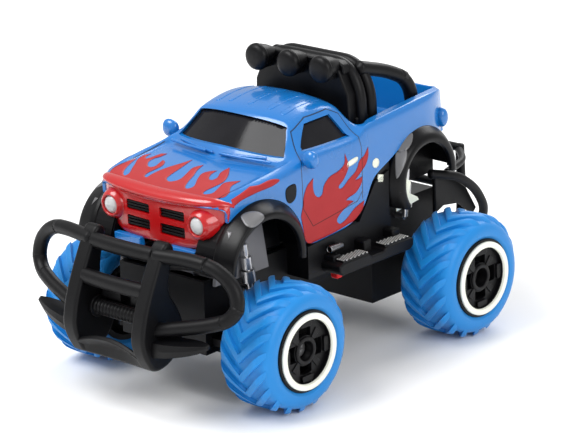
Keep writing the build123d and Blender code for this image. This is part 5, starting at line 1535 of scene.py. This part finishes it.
class TRUCK_OT_rollbar(Operator):
    """Roll bar with two hoops, its stays and three lamps"""
    bl_idname = "truck.rollbar"
    bl_label = "Roll bar and lamps"

    def execute(self, context):
        black = moulded("rollbar_black", colours().black, 0.36)
        radius = sizes().roll_tube
        mesh = bmesh.new()
        for y, lean, top in ((15.2, 0.0, 84.2), (19.0, 0.5, 84.0)):
            path = [at(-19.0, y + lean, 61.6), at(-18.6, y + lean, 76.6), at(-14.2, y, top), at(14.2, y, top),
                    at(18.6, y + lean, 76.6), at(19.0, y + lean, 61.6)]
            tube(mesh, path, radius, (4.0, 4.5, 4.5, 4.0), 18)
        for side in (-1, 1):
            stay = [at(side * 16.2, 18.0, 82.6), at(side * 17.3, 30.5, 79.0), at(side * 18.2, 37.6, 74.6),
                    at(side * 19.0, 38.4, 62.0)]
            tube(mesh, stay, radius * 1.2, (6.0, 5.0), 18)
        fix_normals(mesh)
        make_piece("roll_bar_tubes", mesh, black, "root", ("roll_bar",))

        mesh = bmesh.new()
        panel = [(-18.4, 67.5), (-18.0, 76.0), (-14.4, 83.4), (14.4, 83.4), (18.0, 76.0), (18.4, 67.5)]
        prism(mesh, panel, (0, MID_Y + 10.4, 0), (1, 0, 0), (0, 0, 1), (0, 1, 0), 4.6)
        lamp_bar = [(-16.0, 81.8), (-15.6, 84.4), (-13.8, 85.4), (13.8, 85.4), (15.6, 84.4), (16.0, 81.8)]
        prism(mesh, lamp_bar, (0, MID_Y + 11.4, 0), (1, 0, 0), (0, 0, 1), (0, 1, 0), 3.2)
        for side in (-1, 1):
            block(mesh, (side * 17.4 - 1.9, 12.6, 66.4), (side * 17.4 + 1.9, 20.2, 69.4))
        fix_normals(mesh)
        soften(make_piece("roll_bar_panel", mesh, black), 0.0007, 3)

        mesh = bmesh.new()
        body = [(3.6, 0.001), (3.65, 2.0), (3.9, 3.1), (4.4, 3.75), (5.0, 4.0), (5.8, 4.05), (6.1, 3.85),
                (6.3, 3.65),
                (7.6, 3.45), (9.6, 2.8), (11.6, 1.9), (13.0, 1.2), (13.8, 0.001)]
        for x in LAMP_PLACES:
            lathe(mesh, body, Vector((x, MID_Y, 84.3)), "Y", 44)
            prism(mesh, [(-1.2, 80.6), (1.2, 80.6), (1.0, 83.0), (-1.0, 83.0)], (x, MID_Y + 7.0, 0),
                  (1, 0, 0), (0, 0, 1), (0, 1, 0), 4.6)
        bmesh.ops.remove_doubles(mesh, verts=mesh.verts, dist=1e-6)
        fix_normals(mesh)
        soften(make_piece("bullet_lamps", mesh, moulded("lamp_black", colours().black, 0.34), "root",
                          ("roof_lamps",)), 0.00015, 2)
        return {"FINISHED"}


# The rear bumper's tubes are slimmer than the front loops.
REAR_TUBE_SHARE = 0.68


class TRUCK_OT_tail(Operator):
    """Rear bumper of bent tubes and dark webs"""
    bl_idname = "truck.tail"
    bl_label = "Rear bumper"

    def execute(self, context):
        black = moulded("tail_black", colours().black, 0.42)
        radius = sizes().bumper_tube * REAR_TUBE_SHARE
        mesh = bmesh.new()
        for side in (-1, 1):
            path = [at(side * 23.0, 41.0, 46.0), at(side * 25.4, 50.4, 43.6), at(side * 25.6, 58.6, 37.8),
                    at(side * 24.6, 64.4, 29.8), at(side * 20.6, 66.6, 23.6), at(side * 12.4, 67.2, 21.4)]
            tube(mesh, path, radius, (3.5, 4.5, 4.0, 4.5), 16)
            low = [at(side * 12.6, 67.4, 46.6), at(side * 12.6, 67.9, 33.0), at(side * 12.4, 67.2, 20.6),
                   at(side * 12.2, 58.0, 19.6)]
            tube(mesh, low, radius, (3.0, 3.0), 16)
        for y, z in ((67.4, 46.0), (67.6, 33.2), (67.0, 21.6)):
            tube(mesh, [at(-12.6, y, z), at(12.6, y, z)], radius * 0.9, (), 16)
        for side in (-1, 1):
            tube(mesh, [at(side * 12.6, 67.0, 45.6), at(side * 20.0, 60.0, 45.2),
                        at(side * 23.4, 48.0, 45.0)],
                 radius * 0.8, (4.0,), 14)
        fix_normals(mesh)
        make_piece("rear_bumper_tubes", mesh, black, "root", ("rear_bumper",))

        mesh = bmesh.new()
        web = [(43.0, 44.2), (50.6, 42.8), (57.6, 37.8), (62.4, 30.2), (60.6, 28.4), (54.0, 33.6),
               (47.0, 34.6), (43.0, 33.0)]
        for side in (-1, 1):
            side_plate(mesh, web, side * 22.2 - 0.7, 1.4)
        fix_normals(mesh)
        soften(make_piece("rear_bumper_webs", mesh, black), 0.0004, 2)
        return {"FINISHED"}


# ---------------------------------------------------------------- sills, small trim and carried-over nodes


STEP_PLATES = ((-9.6, 1.2), (8.6, 19.2))


class TRUCK_OT_steps(Operator):
    """Side steps with silver tread plates and the exhaust pipes"""
    bl_idname = "truck.steps"
    bl_label = "Side steps"

    def execute(self, context):
        black = moulded("step_black", colours().black, 0.4)
        bright = printed_silver("step_studs", (0.62, 0.62, 0.60))
        chrome = metal("pipe_chrome", (0.22, 0.22, 0.23), 0.3)
        mesh = bmesh.new()
        for side in (-1, 1):
            shelf = [(-11.6, 31.6), (-10.4, 30.2), (19.6, 30.2), (21.0, 31.2), (21.0, 33.4), (19.4, 33.9),
                     (9.2, 33.9), (8.0, 32.8), (2.4, 32.8), (1.4, 33.9), (-9.8, 33.9), (-11.6, 33.2)]
            side_plate(mesh, shelf, min(side * 25.2, side * 32.8), 7.6)
            for y in (-8.6, 4.6, 17.2):
                ends = sorted((side * 25.0, side * 29.4))
                block(mesh, (ends[0], y - 1.7, 31.4), (ends[1], y + 1.7, 36.4 if y > 0 else 35.4))
        fix_normals(mesh)
        soften(make_piece("step_shelves", mesh, black, "root", ("side_steps",)), 0.0006, 3)

        mesh = bmesh.new()
        for side in (-1, 1):
            for low_y, high_y in STEP_PLATES:
                ends = sorted((side * 28.4, side * 32.4))
                block(mesh, (ends[0], low_y, 33.7), (ends[1], high_y, 34.35))
        fix_normals(mesh)
        soften(make_piece("step_plates", mesh, black), 0.0001, 2)

        mesh = bmesh.new()
        for side in (-1, 1):
            for low_y, high_y in STEP_PLATES:
                for row in range(5):
                    for column in range(12):
                        x = side * (28.9 + row * 0.76 + (0.38 if column % 2 else 0.0) - 0.05)
                        y = low_y + 0.55 + column * (high_y - low_y - 1.1) / 11
                        stud = [(-0.34, 0.0), (0.0, -0.26), (0.34, 0.0), (0.0, 0.26)]
                        prism(mesh, stud, (x, MID_Y + y, 34.3), (1, 0, 0), (0, 1, 0), (0, 0, 1), 0.22)
        fix_normals(mesh)
        make_piece("step_studs", mesh, bright, "root", ("step_treads",), smooth=False)

        mesh = bmesh.new()
        for side in (-1, 1):
            centre = Vector((side * 27.2, MID_Y, 36.9))
            pipe = [(-9.6, 0.8), (-9.8, 0.95), (-9.6, 1.1), (-8.4, 1.1), (-8.2, 0.95), (-4.6, 0.95),
                    (-4.2, 0.7),
                    (-4.2, 0.001)]
            lathe(mesh, pipe, centre, "Y", 36)
            inner = [(-4.4, 0.001), (-4.4, 0.65), (-9.6, 0.8)]
            lathe(mesh, inner, centre, "Y", 36)
        bmesh.ops.remove_doubles(mesh, verts=mesh.verts, dist=1e-6)
        fix_normals(mesh)
        soften(make_piece("exhaust_tips", mesh, chrome, "root", ("exhaust_pipes",)), 0.0001,
               2)
        return {"FINISHED"}


class TRUCK_OT_switch(Operator):
    """Red slide of the power switch, with a thumb tab that reaches out below the step"""
    bl_idname = "truck.switch"
    bl_label = "Power switch"

    def execute(self, context):
        mesh = bmesh.new()
        block(mesh, (19.9, -5.6, 28.0), (22.1, -3.0, 32.0))
        block(mesh, (21.0, -5.2, 28.0), (26.0, -3.4, 29.2))
        block(mesh, (23.6, -5.6, 26.6), (26.2, -3.0, 28.8))
        fix_normals(mesh)
        red = moulded("knob_red_bright", (0.55, 0.010, 0.012), 0.3)
        soften(make_piece("switch_slide", mesh, red, "switch", ("switch_knob",)), 0.0005, 3)
        return {"FINISHED"}


HANDLE = [(0.7, 59.1), (1.4, 58.4), (4.6, 59.0), (5.6, 59.8), (5.0, 60.6), (1.6, 60.0)]
FUEL_CAP = [(13.3 + 1.45 * cos(radians(a)), 56.7 + 1.45 * sin(radians(a))) for a in range(0, 360, 45)]
VENT = [(-25.0, 58.6), (-21.6, 59.2), (-20.9, 57.4), (-21.6, 54.8), (-23.8, 54.0), (-25.2, 55.6)]


class TRUCK_OT_trim(Operator):
    """Mirrors, handles, fuel cap, vents, wipers, roof ribs and tail lamps"""
    bl_idname = "truck.trim"
    bl_label = "Small trim"

    def execute(self, context):
        coat = paint("trim_paint", colours().shell_blue)
        silver = printed_silver("trim_silver", colours().ring)
        black = moulded("trim_black", colours().black, 0.36)
        shell = bpy.data.objects["pickup_shell"]
        skin = surface_tree(shell)

        mesh = bmesh.new()
        for side in (-1, 1):
            rings = []
            for x, y, height, depth in ((24.4, -16.4, 2.4, 1.6), (25.6, -16.6, 5.0, 3.2),
                                        (27.2, -16.8, 5.8, 3.6),
                                        (28.8, -16.8, 5.4, 3.4), (29.8, -16.6, 3.4, 2.2)):
                ring = []
                for k in range(12):
                    angle = 2 * pi * k / 12
                    ring.append(at(side * x, y + depth / 2 * cos(angle), 65.4 + height / 2 * sin(angle)))
                rings.append(ring)
            loft(mesh, rings, capped=True)
        fix_normals(mesh)
        refine(make_piece("door_mirrors", mesh, coat, "root"), 2)

        mesh = bmesh.new()
        for side in (-1, 1):
            for x0, x1, y0, y1 in ((1.5, 16.5, -26.3, -23.2), (19.2, 3.4, -24.4, -27.2)):
                path = [at(side * x0, y0, 65.0), at(side * (x0 + x1) / 2, (y0 + y1) / 2 - 0.4, 65.2),
                        at(side * x1, y1, 65.4)]
                tube(mesh, path, 0.00042, (4.0,), 10)
        fix_normals(mesh)
        make_piece("wiper_arms", mesh, coat, "root")

        mesh = bmesh.new()
        for side in (-1, 1):
            rings = []
            for x, grow in ((20.4, 0.8), (22.4, 1.0), (23.8, 0.9), (24.6, 0.55)):
                ring = []
                for k in range(12):
                    angle = 2 * pi * k / 12
                    ring.append(at(side * x, 46.6 + 2.1 * grow * cos(angle), 62.2 + 3.3 * grow * sin(angle)))
                rings.append(ring)
            loft(mesh, rings, capped=True)
        fix_normals(mesh)
        refine(make_piece("tail_lamps", mesh, coat, "root"), 2)

        ribs = []
        for x in (-12.6, -7.6, 7.6, 12.6, 0.0):
            ribs.append(slot_outline(x - 0.85, x + 0.85, -12.0, 3.6, 0.8))
        printed("roof_ribs", skin, ribs, (0, 0, -1), from_above, coat, 0.00034)
        for side, side_name in ((1, "left"), (-1, "right")):
            printed(f"door_handle_{side_name}", skin, [smooth_outline(HANDLE)], (-side, 0, 0),
                    from_side(side),
                    silver, 0.00045)
            printed(f"fuel_cap_{side_name}", skin, [smooth_outline(FUEL_CAP)], (-side, 0, 0), from_side(side),
                    silver, 0.00025)
            printed(f"fender_vent_{side_name}", skin, [smooth_outline(VENT)], (-side, 0, 0), from_side(side),
                    black, 0.0003)
        return {"FINISHED"}


PLAIN_FINISHES = {
    "black_plastic": lambda: moulded("chassis_black", colours().black, 0.42),
    "grey_plastic": lambda: moulded("tower_grey", colours().grey, 0.45),
    "silver_plate": lambda: metal("plated_silver", (0.55, 0.55, 0.56), 0.28),
    "steel": lambda: metal("turned_steel", (0.42, 0.42, 0.43), 0.32),
    "motor_can": lambda: metal("zinc_can", (0.45, 0.46, 0.48), 0.34),
    "brass": lambda: metal("turned_brass", (0.58, 0.40, 0.14), 0.3),
    "gear_plastic": lambda: moulded("gear_white", (0.72, 0.70, 0.62), 0.4),
    "battery_wrap": lambda: paint("cell_sleeve", (0.02, 0.02, 0.025)),
    "contact_metal": lambda: metal("spring_plate", (0.60, 0.60, 0.57), 0.28),
    "board_green": lambda: paint("board_mask", (0.010, 0.10, 0.035)),
    "wire_red": lambda: rubber("lead_red", (0.40, 0.012, 0.012)),
    "red_plastic": lambda: moulded("knob_red", (0.55, 0.012, 0.012), 0.3),
    "lamp_clear": lambda: lamp_lens("led_clear", colours().lens),
}
DAMPERS = ("front_dampers", "rear_dampers")


class TRUCK_OT_finishes(Operator):
    """Finishes and rounded edges for every carried-over node of the CAD model"""
    bl_idname = "truck.finishes"
    bl_label = "Chassis finishes"

    def execute(self, context):
        slots = {part["node"]: part["material_slot"] for part in frame["record"]["subparts"]}
        made = {}
        for name, node in frame["nodes"].items():
            slot = "silver_plate" if name in DAMPERS else slots.get(name)
            if slot not in PLAIN_FINISHES:
                continue
            if slot not in made:
                made[slot] = PLAIN_FINISHES[slot]()
            node.data.materials.clear()
            node.data.materials.append(made[slot])
            soften(node, 0.00022, 2, 40)
        return {"FINISHED"}


# ---------------------------------------------------------------- stage


CAMERA_PLACE = at(565.2, -609.6, 307.1)
CAMERA_AIM = at(-0.9, 2.6, 38.2)
CAMERA_ROLL = radians(-1.95)
LENS = 188.8
SENSOR_WIDTH = 36.0
FLOOR_HALF = 3.0
FLOOR_DROP = 0.00005
AIR_LIGHT = 0.62
LIGHT_AIM = Vector((0, 0, 0.04))
# Each light: its name, place and width in metres, and its power in watts.
LIGHTS = (
    ("key_light", (-0.25, -0.45, 0.75), 0.55, 6.5),
    ("fill_light", (0.75, -0.15, 0.45), 0.5, 3.0),
    ("back_light", (-0.2, 0.7, 0.6), 0.6, 4.0),
)


class TRUCK_OT_stage(Operator):
    """Pale floor, soft studio lights and the camera"""
    bl_idname = "truck.stage"
    bl_label = "Stage"

    def execute(self, context):
        scene = context.scene
        camera = bpy.data.cameras.new("studio_camera")
        camera.lens = LENS
        camera.sensor_width = SENSOR_WIDTH
        camera.clip_start = 0.05
        viewer = bpy.data.objects.new("studio_camera", camera)
        scene.collection.objects.link(viewer)
        forward = (CAMERA_AIM - CAMERA_PLACE).normalized()
        right = forward.cross(Vector((0, 0, 1))).normalized()
        up = right.cross(forward)
        turned_right = right * cos(CAMERA_ROLL) + up * sin(CAMERA_ROLL)
        turned_up = -right * sin(CAMERA_ROLL) + up * cos(CAMERA_ROLL)
        basis = Matrix((turned_right, turned_up, -forward)).transposed().to_4x4()
        viewer.matrix_world = Matrix.Translation(CAMERA_PLACE) @ basis
        scene.camera = viewer

        finish = Finish("studio_floor", colours().floor, 0.7, Specular_IOR_Level=0.2)
        cloud = finish.noise(0.2)
        finish.set(Base_Color=finish.mix(cloud, finish.shade(1.0), finish.shade(0.985)))
        mesh = bmesh.new()
        bmesh.ops.create_grid(mesh, x_segments=1, y_segments=1, size=FLOOR_HALF)
        data = bpy.data.meshes.new("studio_floor")
        mesh.to_mesh(data)
        mesh.free()
        floor = bpy.data.objects.new("studio_floor", data)
        data.materials.append(finish.material)
        scene.collection.objects.link(floor)
        floor.location.z = -FLOOR_DROP

        world = bpy.data.worlds.new("studio_air")
        world.use_nodes = True
        air = world.node_tree.nodes["Background"]
        air.inputs["Color"].default_value = (1.0, 1.0, 1.0, 1.0)
        air.inputs["Strength"].default_value = AIR_LIGHT
        scene.world = world
        scene.view_settings.view_transform = "Standard"
        for name, place, size, power in LIGHTS:
            light = bpy.data.lights.new(name, "AREA")
            light.shape = "DISK"
            light.size = size
            light.energy = power
            lamp = bpy.data.objects.new(name, light)
            lamp.location = place
            lamp.rotation_euler = (LIGHT_AIM - Vector(place)).to_track_quat("-Z", "Y").to_euler()
            scene.collection.objects.link(lamp)
        return {"FINISHED"}


# ---------------------------------------------------------------- panel and registration


STEPS = (
    TRUCK_OT_stage, TRUCK_OT_tyres, TRUCK_OT_rims, TRUCK_OT_shell, TRUCK_OT_nose, TRUCK_OT_flares,
    TRUCK_OT_bumper, TRUCK_OT_rollbar, TRUCK_OT_tail, TRUCK_OT_steps, TRUCK_OT_switch, TRUCK_OT_trim,
    TRUCK_OT_finishes,
)


class TRUCK_PT_panel(Panel):
    bl_idname = "TRUCK_PT_panel"
    bl_label = "Toy truck"
    bl_space_type = "VIEW_3D"
    bl_region_type = "UI"
    bl_category = "Truck"

    def draw(self, context):
        layout = self.layout
        for group in (context.scene.truck_sizes, context.scene.truck_colours):
            box = layout.box()
            for name in group.bl_rna.properties.keys():
                if name not in ("rna_type", "name"):
                    box.prop(group, name)
        for step in STEPS:
            layout.operator(step.bl_idname)


CLASSES = (TRUCK_PG_sizes, TRUCK_PG_colours, *STEPS, TRUCK_PT_panel)


def register():
    for made in CLASSES:
        bpy.utils.register_class(made)
    bpy.types.Scene.truck_sizes = PointerProperty(type=TRUCK_PG_sizes)
    bpy.types.Scene.truck_colours = PointerProperty(type=TRUCK_PG_colours)


def unregister():
    del bpy.types.Scene.truck_colours
    del bpy.types.Scene.truck_sizes
    for made in reversed(CLASSES):
        bpy.utils.unregister_class(made)


def main():
    register()
    for step in STEPS:
        group, name = step.bl_idname.split(".")
        getattr(getattr(bpy.ops, group), name)()


if __name__ == "__main__":
    main()
